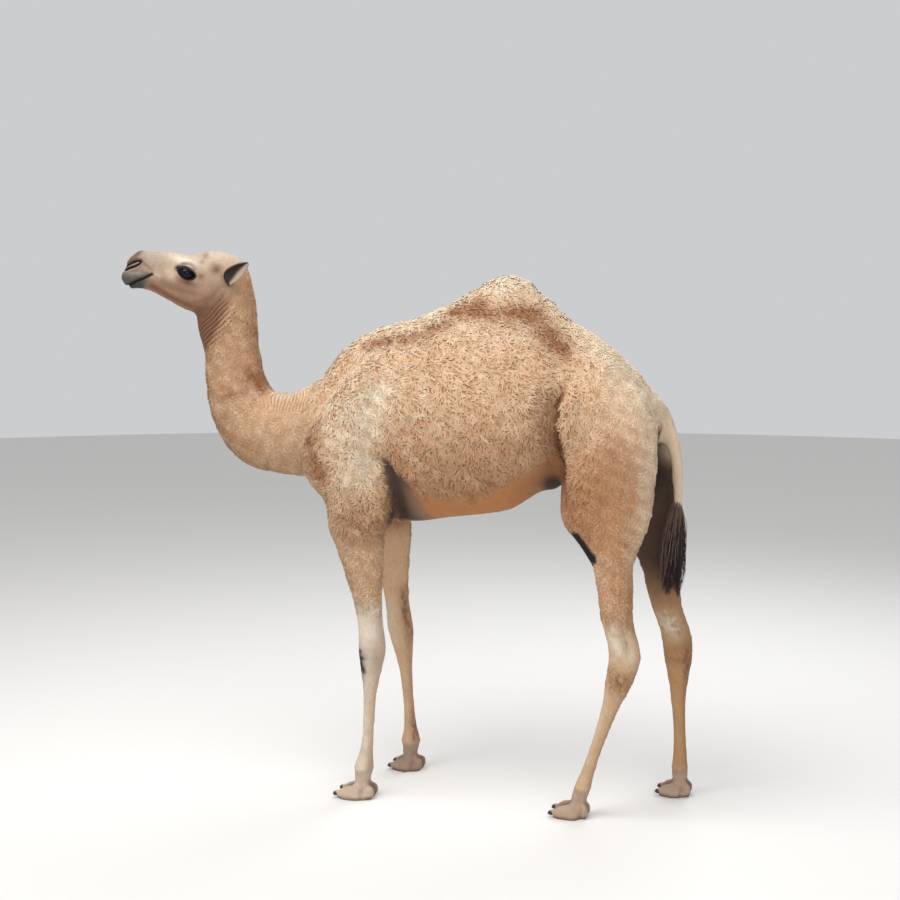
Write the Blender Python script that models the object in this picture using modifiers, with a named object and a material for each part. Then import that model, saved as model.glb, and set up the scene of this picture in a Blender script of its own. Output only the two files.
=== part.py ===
"""Young one-humped camel, life size, as a still standing model in metres.

The camel faces -Y with its left side at +X and stands on the plane Z = 0. The body is modelled as
lofted masses that are fused into one surface, and thin plane cuts then part it into the pieces a
person would name. Lower legs, tail and tuft are plain lofts, and the eyes and nails are set in.
"""

import math

import bmesh
import bpy
from mathutils import Matrix, Vector

GAP = 0.0006            # width of every cut between two pieces
BODY_VOXEL = 0.012      # grid that fuses the trunk, neck and upper legs
HEAD_VOXEL = 0.0055     # grid that fuses the head
FOOT_VOXEL = 0.0048     # grid that fuses a foot
BODY_TRIANGLES = 2300
HEAD_TRIANGLES = 1100
FOOT_TRIANGLES = 230

# Heights of the cuts across the legs.
ELBOW_CUT = 0.868
KNEE_CUT = 0.585
FORE_FETLOCK_CUT = 0.160
CROTCH_CUT = 0.995
STIFLE_CUT = 0.770
HOCK_CUT = 0.440
HIND_FETLOCK_CUT = 0.150

# The head turns to the camel's left about this upright axis.
HEAD_TURN = math.radians(18.0)
HEAD_AXIS = Vector((0.030, -0.600, 0.0))

EYE_RADIUS = 0.0225
EYE_AHEAD = 0.145       # along the head from its turning axis
EYE_ASIDE = 0.0555
EYE_HEIGHT = 1.718

EAR_LENGTH = 0.100
EAR_HALF_WIDTH = 0.0300
EAR_THICKNESS = 0.0040
EAR_ROOT = (0.050, -0.010, 1.693)       # aside, back and up, in the head's own frame
EAR_LEAN = (0.42, 0.70, 0.48)
EAR_FACING = (0.86, -0.40, 0.20)

# Trunk, front to back: y, top, bottom, half width, height of the greatest width.
TRUNK = (
    (-0.350, 1.240, 1.085, 0.050, 1.160),
    (-0.300, 1.345, 1.000, 0.110, 1.170),
    (-0.220, 1.459, 0.925, 0.145, 1.190),
    (-0.100, 1.534, 0.892, 0.178, 1.200),
    (0.040, 1.570, 0.894, 0.212, 1.190),
    (0.140, 1.606, 0.911, 0.236, 1.190),
    (0.340, 1.612, 0.940, 0.250, 1.200),
    (0.460, 1.596, 1.010, 0.235, 1.220),
    (0.580, 1.543, 1.055, 0.205, 1.240),
    (0.690, 1.470, 1.065, 0.188, 1.270),
    (0.790, 1.370, 1.120, 0.125, 1.265),
    (0.850, 1.290, 1.190, 0.055, 1.245),
)

# Hump, bottom to top: z, middle y, half length, half width.
HUMP = (
    (1.440, 0.310, 0.315, 0.150),
    (1.540, 0.312, 0.255, 0.112),
    (1.600, 0.318, 0.190, 0.082),
    (1.640, 0.326, 0.134, 0.060),
    (1.670, 0.338, 0.090, 0.044),
    (1.695, 0.345, 0.056, 0.027),
    (1.706, 0.345, 0.020, 0.010),
)

# Neck, withers to poll: x, y, z, half depth, half width.
NECK = (
    (0.000, -0.130, 1.230, 0.200, 0.145),
    (0.000, -0.280, 1.192, 0.172, 0.126),
    (0.000, -0.395, 1.177, 0.142, 0.104),
    (0.002, -0.498, 1.186, 0.136, 0.089),
    (0.006, -0.578, 1.270, 0.120, 0.079),
    (0.013, -0.602, 1.365, 0.106, 0.071),
    (0.021, -0.610, 1.460, 0.099, 0.065),
    (0.028, -0.622, 1.560, 0.112, 0.063),
    (0.030, -0.610, 1.650, 0.090, 0.060),
    (0.030, -0.600, 1.720, 0.065, 0.052),
)

# Head, poll to lips: distance ahead, top, bottom, half width.
HEAD = (
    (-0.050, 1.738, 1.690, 0.022),
    (-0.030, 1.762, 1.640, 0.046),
    (0.010, 1.782, 1.610, 0.063),
    (0.060, 1.792, 1.592, 0.068),
    (0.100, 1.786, 1.585, 0.066),
    (0.135, 1.777, 1.583, 0.061),
    (0.180, 1.785, 1.601, 0.049),
    (0.225, 1.790, 1.627, 0.041),
    (0.265, 1.791, 1.648, 0.037),
    (0.305, 1.789, 1.664, 0.041),
    (0.335, 1.766, 1.667, 0.042),
    (0.355, 1.733, 1.677, 0.034),
    (0.367, 1.708, 1.688, 0.016),
)

# Shoulder and upper arm, top to bottom: z, middle x, front y, back y, half width.
SHOULDER = (
    (1.450, 0.085, -0.110, 0.020, 0.050),
    (1.340, 0.112, -0.200, -0.030, 0.068),
    (1.220, 0.128, -0.285, -0.058, 0.078),
    (1.110, 0.138, -0.315, -0.062, 0.081),
    (1.040, 0.144, -0.290, -0.045, 0.080),
    (0.975, 0.152, -0.228, -0.018, 0.073),
    (0.935, 0.156, -0.221, -0.014, 0.068),
    (0.900, 0.157, -0.218, -0.030, 0.064),
    (0.840, 0.158, -0.203, -0.030, 0.058),
)

# Foreleg, elbow to fetlock: z, half depth, half width.
FORELEG = (
    (0.900, 0.098, 0.064),
    (0.860, 0.090, 0.060),
    (0.743, 0.066, 0.050),
    (0.640, 0.048, 0.040),
    (0.560, 0.044, 0.038),
    (0.505, 0.049, 0.042),
    (0.430, 0.038, 0.036),
    (0.350, 0.0245, 0.026),
    (0.270, 0.0210, 0.0225),
    (0.190, 0.0205, 0.0225),
    (0.145, 0.0260, 0.0270),
    (0.104, 0.0345, 0.0340),
    (0.063, 0.0270, 0.0300),
    (0.030, 0.0260, 0.0300),
)

# Middle line of each foreleg: z, x, y.
FORELEG_LINE = {
    "left": (
        (0.900, 0.157, -0.122),
        (0.743, 0.157, -0.097),
        (0.560, 0.157, -0.074),
        (0.500, 0.157, -0.070),
        (0.350, 0.157, -0.079),
        (0.190, 0.157, -0.087),
        (0.104, 0.157, -0.100),
        (0.030, 0.157, -0.108),
    ),
    "right": (
        (0.900, -0.160, -0.128),
        (0.743, -0.166, -0.106),
        (0.560, -0.173, -0.085),
        (0.500, -0.175, -0.078),
        (0.350, -0.176, -0.059),
        (0.190, -0.176, -0.046),
        (0.104, -0.176, -0.041),
        (0.030, -0.176, -0.045),
    ),
}

# Hind leg, hip to fetlock: z, half depth, half width.
HINDLEG = (
    (1.400, 0.070, 0.030),
    (1.310, 0.132, 0.066),
    (1.200, 0.154, 0.084),
    (1.060, 0.150, 0.083),
    (0.965, 0.147, 0.079),
    (0.915, 0.130, 0.073),
    (0.860, 0.095, 0.066),
    (0.790, 0.063, 0.057),
    (0.700, 0.056, 0.048),
    (0.600, 0.052, 0.040),
    (0.510, 0.053, 0.036),
    (0.450, 0.048, 0.034),
    (0.370, 0.033, 0.028),
    (0.290, 0.0255, 0.0235),
    (0.200, 0.0225, 0.0225),
    (0.140, 0.0250, 0.0270),
    (0.095, 0.0275, 0.0315),
    (0.055, 0.0265, 0.0290),
    (0.030, 0.0260, 0.0290),
)

# Middle line of each hind leg: z, x, y.
HINDLEG_LINE = {
    "left": (
        (1.400, 0.085, 0.655),
        (1.300, 0.110, 0.689),
        (1.100, 0.124, 0.695),
        (0.960, 0.132, 0.687),
        (0.860, 0.142, 0.703),
        (0.750, 0.151, 0.722),
        (0.640, 0.157, 0.731),
        (0.520, 0.160, 0.758),
        (0.440, 0.161, 0.740),
        (0.290, 0.161, 0.692),
        (0.150, 0.161, 0.646),
        (0.030, 0.161, 0.608),
    ),
    "right": (
        (1.400, -0.085, 0.658),
        (1.300, -0.108, 0.697),
        (1.100, -0.118, 0.722),
        (0.960, -0.124, 0.750),
        (0.860, -0.130, 0.782),
        (0.750, -0.136, 0.823),
        (0.640, -0.140, 0.843),
        (0.520, -0.142, 0.882),
        (0.440, -0.143, 0.887),
        (0.320, -0.143, 0.889),
        (0.150, -0.143, 0.897),
        (0.030, -0.143, 0.897),
    ),
}

# Sole of each foot: middle x, middle y, half length, half width.
SOLES = {
    ("fore", "left"): (0.164, -0.122, 0.066, 0.063),
    ("fore", "right"): (-0.171, -0.049, 0.058, 0.061),
    ("hind", "left"): (0.167, 0.592, 0.060, 0.058),
    ("hind", "right"): (-0.136, 0.884, 0.055, 0.057),
}
TOE_SPLAY = math.radians(6.0)
NAIL_LENGTH = 0.024
NAIL_WIDTH = 0.020

# Tail, root to the start of the tuft: y, z, half depth, half width.
TAIL = (
    (0.765, 1.325, 0.034, 0.040),
    (0.823, 1.283, 0.034, 0.038),
    (0.864, 1.210, 0.028, 0.031),
    (0.891, 1.110, 0.021, 0.024),
    (0.895, 1.000, 0.016, 0.017),
    (0.893, 0.940, 0.013, 0.014),
)
TUFT = (
    (0.893, 0.9394, 0.013, 0.014),
    (0.891, 0.900, 0.019, 0.019),
    (0.886, 0.830, 0.030, 0.029),
    (0.884, 0.770, 0.035, 0.031),
    (0.883, 0.720, 0.028, 0.025),
    (0.882, 0.685, 0.012, 0.012),
)

TAN = (0.60, 0.43, 0.28)
CREAM = (0.68, 0.55, 0.42)
RUSSET = (0.50, 0.32, 0.19)
PINK_GREY = (0.55, 0.43, 0.36)
EYE_BROWN = (0.02, 0.014, 0.012)
DARK_HAIR = (0.06, 0.045, 0.04)
HORN = (0.08, 0.06, 0.05)


def clear_scene():
    for thing in list(bpy.data.objects):
        bpy.data.objects.remove(thing, do_unlink=True)
    for group in list(bpy.data.collections):
        bpy.data.collections.remove(group)


def new_collection(name):
    group = bpy.data.collections.new(name)
    bpy.context.scene.collection.children.link(group)
    return group


def finish_material(name, colour, roughness):
    material = bpy.data.materials.new(name)
    material.use_nodes = True
    shader = material.node_tree.nodes["Principled BSDF"]
    shader.inputs["Base Color"].default_value = (*colour, 1.0)
    shader.inputs["Roughness"].default_value = roughness
    shader.inputs["Metallic"].default_value = 0.0
    return material


def slopes(stations, values):
    """Slopes for a smooth curve through the values that does not overshoot them."""
    steps = [b - a for a, b in zip(stations, stations[1:])]
    rises = [(b - a) / h for a, b, h in zip(values, values[1:], steps)]
    middle = []
    for before, after in zip(rises, rises[1:]):
        middle.append(0.0 if before * after <= 0.0 else 2.0 * before * after / (before + after))
    return [rises[0], *middle, rises[-1]]


def read_curve(stations, values, at):
    """Value of the smooth curve at one station."""
    grades = slopes(stations, values)
    place = len(stations) - 2
    for i in range(len(stations) - 1):
        if at <= stations[i + 1]:
            place = i
            break
    step = stations[place + 1] - stations[place]
    t = (at - stations[place]) / step
    return (
        values[place] * (1 + 2 * t) * (1 - t) ** 2
        + values[place + 1] * t * t * (3 - 2 * t)
        + step * grades[place] * t * (1 - t) ** 2
        + step * grades[place + 1] * t * t * (t - 1)
    )


def read_table(table, at):
    """Row of a table at one value of its first column, read between its rows."""
    rows = sorted(table)
    stations = [row[0] for row in rows]
    columns = list(zip(*rows))[1:]
    return [read_curve(stations, column, at) for column in columns]


def spread(first, last, count):
    return [first + (last - first) * i / (count - 1) for i in range(count)]


def ring(centre, aside, ahead, half_width, fore, aft, fore_power, aft_power, sides):
    """Closed outline, rounder or flatter by its powers, with its own reach ahead and behind."""
    points = []
    for i in range(sides):
        turn = math.tau * i / sides
        c, s = math.cos(turn), math.sin(turn)
        power = fore_power if s >= 0 else aft_power
        reach = fore if s >= 0 else aft
        u = math.copysign(abs(c) ** (2.0 / power), c) * half_width
        v = math.copysign(abs(s) ** (2.0 / power), s) * reach
        points.append(centre + aside * u + ahead * v)
    return points


def loft(rings):
    """Closed mesh through a row of rings, with a flat face at each end."""
    shape = bmesh.new()
    rows = [[shape.verts.new(point) for point in points] for points in rings]
    sides = len(rows[0])
    for low, high in zip(rows, rows[1:]):
        for i in range(sides):
            j = (i + 1) % sides
            shape.faces.new((low[i], low[j], high[j], high[i]))
    shape.faces.new(rows[0])
    shape.faces.new(rows[-1])
    bmesh.ops.recalc_face_normals(shape, faces=shape.faces)
    return shape


def ellipsoid(centre, radii, turn=None):
    """Ellipsoid at a place, turned by a matrix where one is given."""
    shape = bmesh.new()
    bmesh.ops.create_uvsphere(shape, u_segments=20, v_segments=12, radius=1.0)
    bmesh.ops.scale(shape, vec=radii, verts=shape.verts)
    if turn is not None:
        bmesh.ops.transform(shape, matrix=turn, verts=shape.verts)
    bmesh.ops.translate(shape, vec=centre, verts=shape.verts)
    return shape


def joined(shapes):
    """One bmesh that holds all the shapes, still as separate shells."""
    whole = bmesh.new()
    for shape in shapes:
        scratch = bpy.data.meshes.new("scratch")
        shape.to_mesh(scratch)
        shape.free()
        whole.from_mesh(scratch)
        bpy.data.meshes.remove(scratch)
    return whole


def make_object(name, shape, group):
    mesh = bpy.data.meshes.new(name)
    shape.to_mesh(mesh)
    shape.free()
    thing = bpy.data.objects.new(name, mesh)
    group.objects.link(thing)
    return thing


def applied(thing):
    """Puts what the object's modifiers make into its mesh and takes the modifiers off."""
    bpy.context.view_layer.update()
    graph = bpy.context.evaluated_depsgraph_get()
    mesh = bpy.data.meshes.new_from_object(thing.evaluated_get(graph))
    old = thing.data
    thing.modifiers.clear()
    thing.data = mesh
    bpy.data.meshes.remove(old)
    return thing


def fused(name, shapes, voxel, rounds, triangles, group):
    """Fuses overlapping shapes into one smooth surface with about the given triangles."""
    thing = make_object(name, joined(shapes), group)
    remesh = thing.modifiers.new("fuse", "REMESH")
    remesh.mode = "VOXEL"
    remesh.voxel_size = voxel
    smooth = thing.modifiers.new("smooth", "SMOOTH")
    smooth.factor = 0.5
    smooth.iterations = rounds
    applied(thing)
    count = sum(len(face.vertices) - 2 for face in thing.data.polygons)
    thin = thing.modifiers.new("thin", "DECIMATE")
    thin.ratio = min(1.0, triangles / count)
    return applied(thing)


def slab(name, centre, normal, half_size, group):
    """Thin square cutter across a normal."""
    shape = bmesh.new()
    bmesh.ops.create_cube(shape, size=1.0)
    bmesh.ops.scale(shape, vec=(2 * half_size, 2 * half_size, GAP), verts=shape.verts)
    turn = Vector(normal).to_track_quat("Z", "Y").to_matrix()
    bmesh.ops.transform(shape, matrix=turn.to_4x4(), verts=shape.verts)
    bmesh.ops.translate(shape, vec=Vector(centre), verts=shape.verts)
    cutter = make_object(name, shape, group)
    cutter.hide_render = True
    cutter.display_type = "WIRE"
    return cutter


def cut_by(thing, cutters):
    """Takes every cutter out of the object."""
    for cutter in cutters:
        cut = thing.modifiers.new("cut", "BOOLEAN")
        cut.operation = "DIFFERENCE"
        cut.solver = "EXACT"
        cut.object = cutter
    applied(thing)
    for cutter in cutters:
        bpy.data.objects.remove(cutter, do_unlink=True)
    return thing


def grown_copy(thing, amount, group):
    """Copy of an object with its surface moved outwards, to cut a neighbour back from it."""
    copy = thing.copy()
    copy.data = thing.data.copy()
    group.objects.link(copy)
    grow = copy.modifiers.new("grow", "DISPLACE")
    grow.strength = amount
    grow.mid_level = 0.0
    copy.hide_render = True
    copy.display_type = "WIRE"
    return applied(copy)


def shells(thing):
    """Each separate shell of the object as a bmesh, largest first."""
    whole = bmesh.new()
    whole.from_mesh(thing.data)
    whole.verts.ensure_lookup_table()
    group_of = [None] * len(whole.verts)
    sizes = []
    for start in whole.verts:
        if group_of[start.index] is not None:
            continue
        number, waiting, size = len(sizes), [start], 0
        group_of[start.index] = number
        while waiting:
            vert = waiting.pop()
            size += 1
            for edge in vert.link_edges:
                other = edge.other_vert(vert)
                if group_of[other.index] is None:
                    group_of[other.index] = number
                    waiting.append(other)
        sizes.append(size)
    pieces = []
    for number in sorted(range(len(sizes)), key=lambda item: -sizes[item]):
        piece = whole.copy()
        others = [vert for vert in piece.verts if group_of[vert.index] != number]
        bmesh.ops.delete(piece, geom=others, context="VERTS")
        pieces.append(piece)
    whole.free()
    return pieces


def box_middle(shape):
    low = Vector([min(v.co[i] for v in shape.verts) for i in range(3)])
    high = Vector([max(v.co[i] for v in shape.verts) for i in range(3)])
    return (low + high) / 2


def named_shells(thing, places, group):
    """Parts an object into its shells and names each by the nearest place."""
    pieces = shells(thing)[:len(places)]
    free = dict(places)
    made = {}
    for shape in pieces:
        middle = box_middle(shape)
        name = min(free, key=lambda item: (Vector(free[item]) - middle).length)
        del free[name]
        made[name] = make_object(name, shape, group)
    bpy.data.objects.remove(thing, do_unlink=True)
    return made


def largest_shell(thing):
    pieces = shells(thing)
    mesh = bpy.data.meshes.new(thing.name)
    pieces[0].to_mesh(mesh)
    for shape in pieces:
        shape.free()
    old = thing.data
    thing.data = mesh
    bpy.data.meshes.remove(old)
    return thing


def trimmed(thing, neighbour, guides):
    """Cuts an object back from a neighbour, which it is set into, and keeps the gap."""
    cutters = [grown_copy(neighbour, amount, guides) for amount in (GAP, 0.0)]
    return largest_shell(cut_by(thing, cutters))


X, Y, Z = Vector((1, 0, 0)), Vector((0, 1, 0)), Vector((0, 0, 1))


def trunk_shape():
    rings = []
    for y in spread(TRUNK[0][0], TRUNK[-1][0], 40):
        top, bottom, half, middle = read_table(TRUNK, y)
        centre = Vector((0.0, y, middle))
        rings.append(ring(centre, X, Z, half, top - middle, middle - bottom, 1.80, 2.00, 28))
    return loft(rings)


def hump_shape():
    rings = []
    for z in spread(HUMP[0][0], HUMP[-1][0], 24):
        y, length, half = read_table(HUMP, z)
        rings.append(ring(Vector((0.0, y, z)), X, -Y, half, length, length, 2.0, 2.0, 24))
    return loft(rings)


def neck_shape():
    """The neck bends forward and up, each ring square to the middle line."""
    stations = [float(i) for i in range(len(NECK))]
    columns = list(zip(*NECK))
    rings = []
    for at in spread(0.0, stations[-1], 40):
        x, y, z, depth, half = [read_curve(stations, column, at) for column in columns]
        low, high = max(at - 0.15, 0.0), min(at + 0.15, stations[-1])
        start = Vector([read_curve(stations, column, low) for column in columns[:3]])
        end = Vector([read_curve(stations, column, high) for column in columns[:3]])
        along = (end - start).normalized()
        aside = (X - along * X.dot(along)).normalized()
        ahead = aside.cross(along).normalized()
        rings.append(ring(Vector((x, y, z)), aside, ahead, half, depth, depth, 2.0, 2.0, 24))
    return loft(rings)


def turn_head(shape):
    """Turns a shape made along -Y at the head's axis to the head's own direction."""
    turn = Matrix.Rotation(HEAD_TURN, 4, "Z")
    bmesh.ops.transform(shape, matrix=Matrix.Translation(HEAD_AXIS) @ turn, verts=shape.verts)
    return shape


def head_point(ahead, aside, height):
    turn = Matrix.Rotation(HEAD_TURN, 4, "Z")
    return HEAD_AXIS + turn @ Vector((aside, -ahead, height))


def skull_shape():
    rings = []
    for ahead in spread(HEAD[0][0], HEAD[-1][0], 36):
        top, bottom, half = read_table(HEAD, ahead)
        middle = bottom + 0.55 * (top - bottom)
        centre = Vector((0.0, -ahead, middle))
        rings.append(ring(centre, X, Z, half, top - middle, middle - bottom, 2.2, 2.0, 24))
    return turn_head(loft(rings))


def head_masses():
    """Brow, cheek, muzzle and nose pads on both sides of the head."""
    shapes = []
    for side in (1, -1):
        for ahead, aside, height, radii in (
            (0.142, 0.048, 1.720, (0.0255, 0.041, 0.031)),
            (0.140, 0.052, 1.744, (0.022, 0.036, 0.014)),
            (0.105, 0.052, 1.710, (0.018, 0.040, 0.020)),
            (0.060, 0.052, 1.702, (0.015, 0.052, 0.014)),
            (0.090, 0.040, 1.632, (0.024, 0.052, 0.042)),
            (0.320, 0.022, 1.747, (0.018, 0.030, 0.020)),
            (0.322, 0.024, 1.704, (0.023, 0.036, 0.018)),
        ):
            shapes.append(turn_head(ellipsoid(Vector((side * aside, -ahead, height)), radii)))
    return shapes


def shoulder_shape(side):
    rings = []
    for z in spread(SHOULDER[0][0], SHOULDER[-1][0], 28):
        x, front, back, half = read_table(SHOULDER, z)
        centre = Vector((side * x, (front + back) / 2, z))
        reach = (back - front) / 2
        rings.append(ring(centre, X, -Y, half, reach, reach, 2.2, 2.2, 24))
    return loft(rings)


def leg_rings(table, line, top, bottom, count, sides):
    rings = []
    for z in spread(top, bottom, count):
        depth, half = read_table(table, z)
        x, y = read_table(line, z)
        rings.append(ring(Vector((x, y, z)), X, -Y, half, depth, depth, 2.1, 2.1, sides))
    return rings


def leg_piece(table, line, top, bottom, count):
    """Length of a leg between two cuts."""
    return loft(leg_rings(table, line, top - GAP / 2, bottom + GAP / 2, count, 13))


def tail_rings(table, count):
    rings = []
    rows = [(i, *row) for i, row in enumerate(table)]
    for at in spread(0.0, len(table) - 1.0, count):
        y, z, depth, half = read_table(rows, at)
        y_low, z_low = read_table(rows, max(at - 0.2, 0.0))[:2]
        y_high, z_high = read_table(rows, min(at + 0.2, len(table) - 1.0))[:2]
        along = Vector((0.0, y_high - y_low, z_high - z_low)).normalized()
        rings.append(ring(Vector((0.0, y, z)), X, X.cross(along), half, depth, depth, 2.0, 2.0, 10))
    return rings


def ear_shape(side):
    """Pointed leaf, cupped towards its opening and a few millimetres thick."""
    steps_along, steps_across = 7, 6
    rings = []
    for i in range(steps_along + 1):
        t = i / steps_along
        half = EAR_HALF_WIDTH * (0.70 + 1.10 * t - 0.50 * t * t) * (1.0 - t ** 2.4) ** 0.8 + 0.003
        curl = math.radians(75.0 - 40.0 * t)
        outer = half / math.sin(curl)
        turns = spread(-curl, curl, steps_across + 1)
        arcs = ((outer, turns), (outer - EAR_THICKNESS, list(reversed(turns))))
        rings.append([
            Vector((radius * math.sin(a), t * EAR_LENGTH, outer - radius * math.cos(a)))
            for radius, angles in arcs for a in angles
        ])
    shape = loft(rings)
    along = Vector((side * EAR_LEAN[0], EAR_LEAN[1], EAR_LEAN[2])).normalized()
    opening = Vector((side * EAR_FACING[0], EAR_FACING[1], EAR_FACING[2]))
    opening = (opening - along * opening.dot(along)).normalized()
    across = along.cross(opening)
    turn = Matrix((across, along, opening)).transposed().to_4x4()
    root = Matrix.Translation(Vector((side * EAR_ROOT[0], EAR_ROOT[1], EAR_ROOT[2])))
    bmesh.ops.transform(shape, matrix=root @ turn, verts=shape.verts)
    return turn_head(shape)


def eye_shape(side):
    shape = bmesh.new()
    bmesh.ops.create_icosphere(shape, subdivisions=2, radius=EYE_RADIUS)
    centre = head_point(EYE_AHEAD, side * EYE_ASIDE, EYE_HEIGHT)
    bmesh.ops.translate(shape, vec=centre, verts=shape.verts)
    return shape


def foot_shapes(kind, side):
    """Pastern, two splayed toes on one broad pad, and two heel lobes."""
    x, y, length, width = SOLES[kind, side]
    table, line = (FORELEG, FORELEG_LINE) if kind == "fore" else (HINDLEG, HINDLEG_LINE)
    top = FORE_FETLOCK_CUT if kind == "fore" else HIND_FETLOCK_CUT
    shapes = [loft(leg_rings(table, line[side], top + 0.02, 0.032, 16, 20))]
    shapes.append(ellipsoid(Vector((x, y, 0.006)), (width * 0.97, length * 0.86, 0.027)))
    for toe in (1, -1):
        splay = Matrix.Rotation(toe * TOE_SPLAY, 4, "Z")
        dip = Matrix.Rotation(math.radians(14.0), 4, "X")
        place = Vector((x + toe * width * 0.46, y - length * 0.26, 0.019))
        shapes.append(ellipsoid(place, (width * 0.45, length * 0.76, 0.022), splay @ dip))
        heel = Vector((x + toe * width * 0.30, y + length * 0.72, 0.022))
        shapes.append(ellipsoid(heel, (width * 0.36, length * 0.30, 0.024)))
        bulge = Vector((x + toe * 0.014, read_table(line[side], 0.1)[1], 0.1))
        shapes.append(ellipsoid(bulge, (0.021, 0.028, 0.026)))
    return shapes


def flat_below(shape, height):
    """Cuts a shape flat at a height and closes it there."""
    everything = shape.verts[:] + shape.edges[:] + shape.faces[:]
    made = bmesh.ops.bisect_plane(
        shape, geom=everything, plane_co=(0, 0, height), plane_no=(0, 0, -1), clear_outer=True)
    rim = [item for item in made["geom_cut"] if isinstance(item, bmesh.types.BMEdge)]
    bmesh.ops.edgenet_fill(shape, edges=rim)
    bmesh.ops.recalc_face_normals(shape, faces=shape.faces)


def make_foot(kind, side, group):
    """One foot with a flat sole at Z = 0 and a flat top at the fetlock cut."""
    top = FORE_FETLOCK_CUT if kind == "fore" else HIND_FETLOCK_CUT
    name = f"{kind}leg_{side}_foot"
    foot = fused(name, foot_shapes(kind, side), FOOT_VOXEL, 3, FOOT_TRIANGLES, group)
    shape = bmesh.new()
    shape.from_mesh(foot.data)
    flat_below(shape, 0.0)
    everything = shape.verts[:] + shape.edges[:] + shape.faces[:]
    made = bmesh.ops.bisect_plane(
        shape, geom=everything, plane_co=(0, 0, top - GAP / 2), plane_no=(0, 0, 1),
        clear_outer=True)
    rim = [item for item in made["geom_cut"] if isinstance(item, bmesh.types.BMEdge)]
    bmesh.ops.edgenet_fill(shape, edges=rim)
    bmesh.ops.recalc_face_normals(shape, faces=shape.faces)
    shape.to_mesh(foot.data)
    shape.free()
    return foot


def nail_shape(kind, side, toe):
    """Small domed nail on the tip of one toe."""
    x, y, length, width = SOLES[kind, side]
    splay = Matrix.Rotation(toe * TOE_SPLAY, 4, "Z")
    place = Vector((x + toe * width * 0.52, y - length * 0.90, 0.0150))
    radii = (NAIL_WIDTH / 2, NAIL_LENGTH / 2, 0.0115)
    shape = bmesh.new()
    bmesh.ops.create_uvsphere(shape, u_segments=8, v_segments=6, radius=1.0)
    bmesh.ops.scale(shape, vec=radii, verts=shape.verts)
    bmesh.ops.transform(shape, matrix=Matrix.Translation(place) @ splay, verts=shape.verts)
    return shape


def make_body(group, guides):
    """Trunk, neck, hump and upper legs as one surface, parted by plane cuts."""
    shapes = [trunk_shape(), hump_shape(), neck_shape(), skull_shape()]
    for name, side in (("left", 1), ("right", -1)):
        shapes.append(shoulder_shape(side))
        shapes.append(loft(leg_rings(FORELEG, FORELEG_LINE[name], 0.90, 0.80, 8, 24)))
        shapes.append(loft(leg_rings(HINDLEG, HINDLEG_LINE[name], 1.40, 0.70, 40, 24)))
        shapes.append(ellipsoid(Vector((side * 0.150, -0.030, 0.936)), (0.045, 0.024, 0.036)))
    body = fused("body", shapes, BODY_VOXEL, 6, BODY_TRIANGLES, guides)
    cuts = [
        ((0.03, -0.650, 1.632), (0.0, -0.60, 1.0), 0.30),
        ((0.0, -0.595, 1.330), (0.0, 0.22, 1.0), 0.30),
        ((0.0, -0.355, 1.190), (0.0, 1.0, 0.12), 0.36),
        ((0.0, 0.035, 1.200), (0.0, 1.0, 0.0), 0.50),
        ((0.0, 0.530, 1.200), (0.0, 1.0, 0.0), 0.50),
        ((0.0, 0.305, 1.600), (0.0, 0.0, 1.0), 0.28),
    ]
    for y, z in ((-0.12, ELBOW_CUT), (0.785, CROTCH_CUT), (0.760, STIFLE_CUT)):
        cuts.append(((0.0, y, z), (0.0, 0.0, 1.0), 0.25))
    cutters = [slab(f"cut_{i}", *cut, guides) for i, cut in enumerate(cuts)]
    cut_by(body, cutters)
    places = {
        "waste_head": (0.06, -0.75, 1.70),
        "neck_upper": (0.02, -0.62, 1.48),
        "neck_lower": (0.0, -0.53, 1.20),
        "chest": (0.0, -0.16, 1.20),
        "barrel": (0.0, 0.28, 1.24),
        "hump": (0.0, 0.31, 1.65),
        "rump": (0.0, 0.69, 1.27),
        "hindleg_left_thigh": (0.14, 0.69, 0.88),
        "hindleg_right_thigh": (-0.13, 0.77, 0.88),
        "waste_fore_left": (0.16, -0.11, 0.83),
        "waste_fore_right": (-0.16, -0.11, 0.83),
        "waste_hind_left": (0.15, 0.72, 0.73),
        "waste_hind_right": (-0.14, 0.82, 0.73),
    }
    made = named_shells(body, places, group)
    for name in [name for name in made if name.startswith("waste")]:
        bpy.data.objects.remove(made.pop(name), do_unlink=True)
    return made


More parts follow.
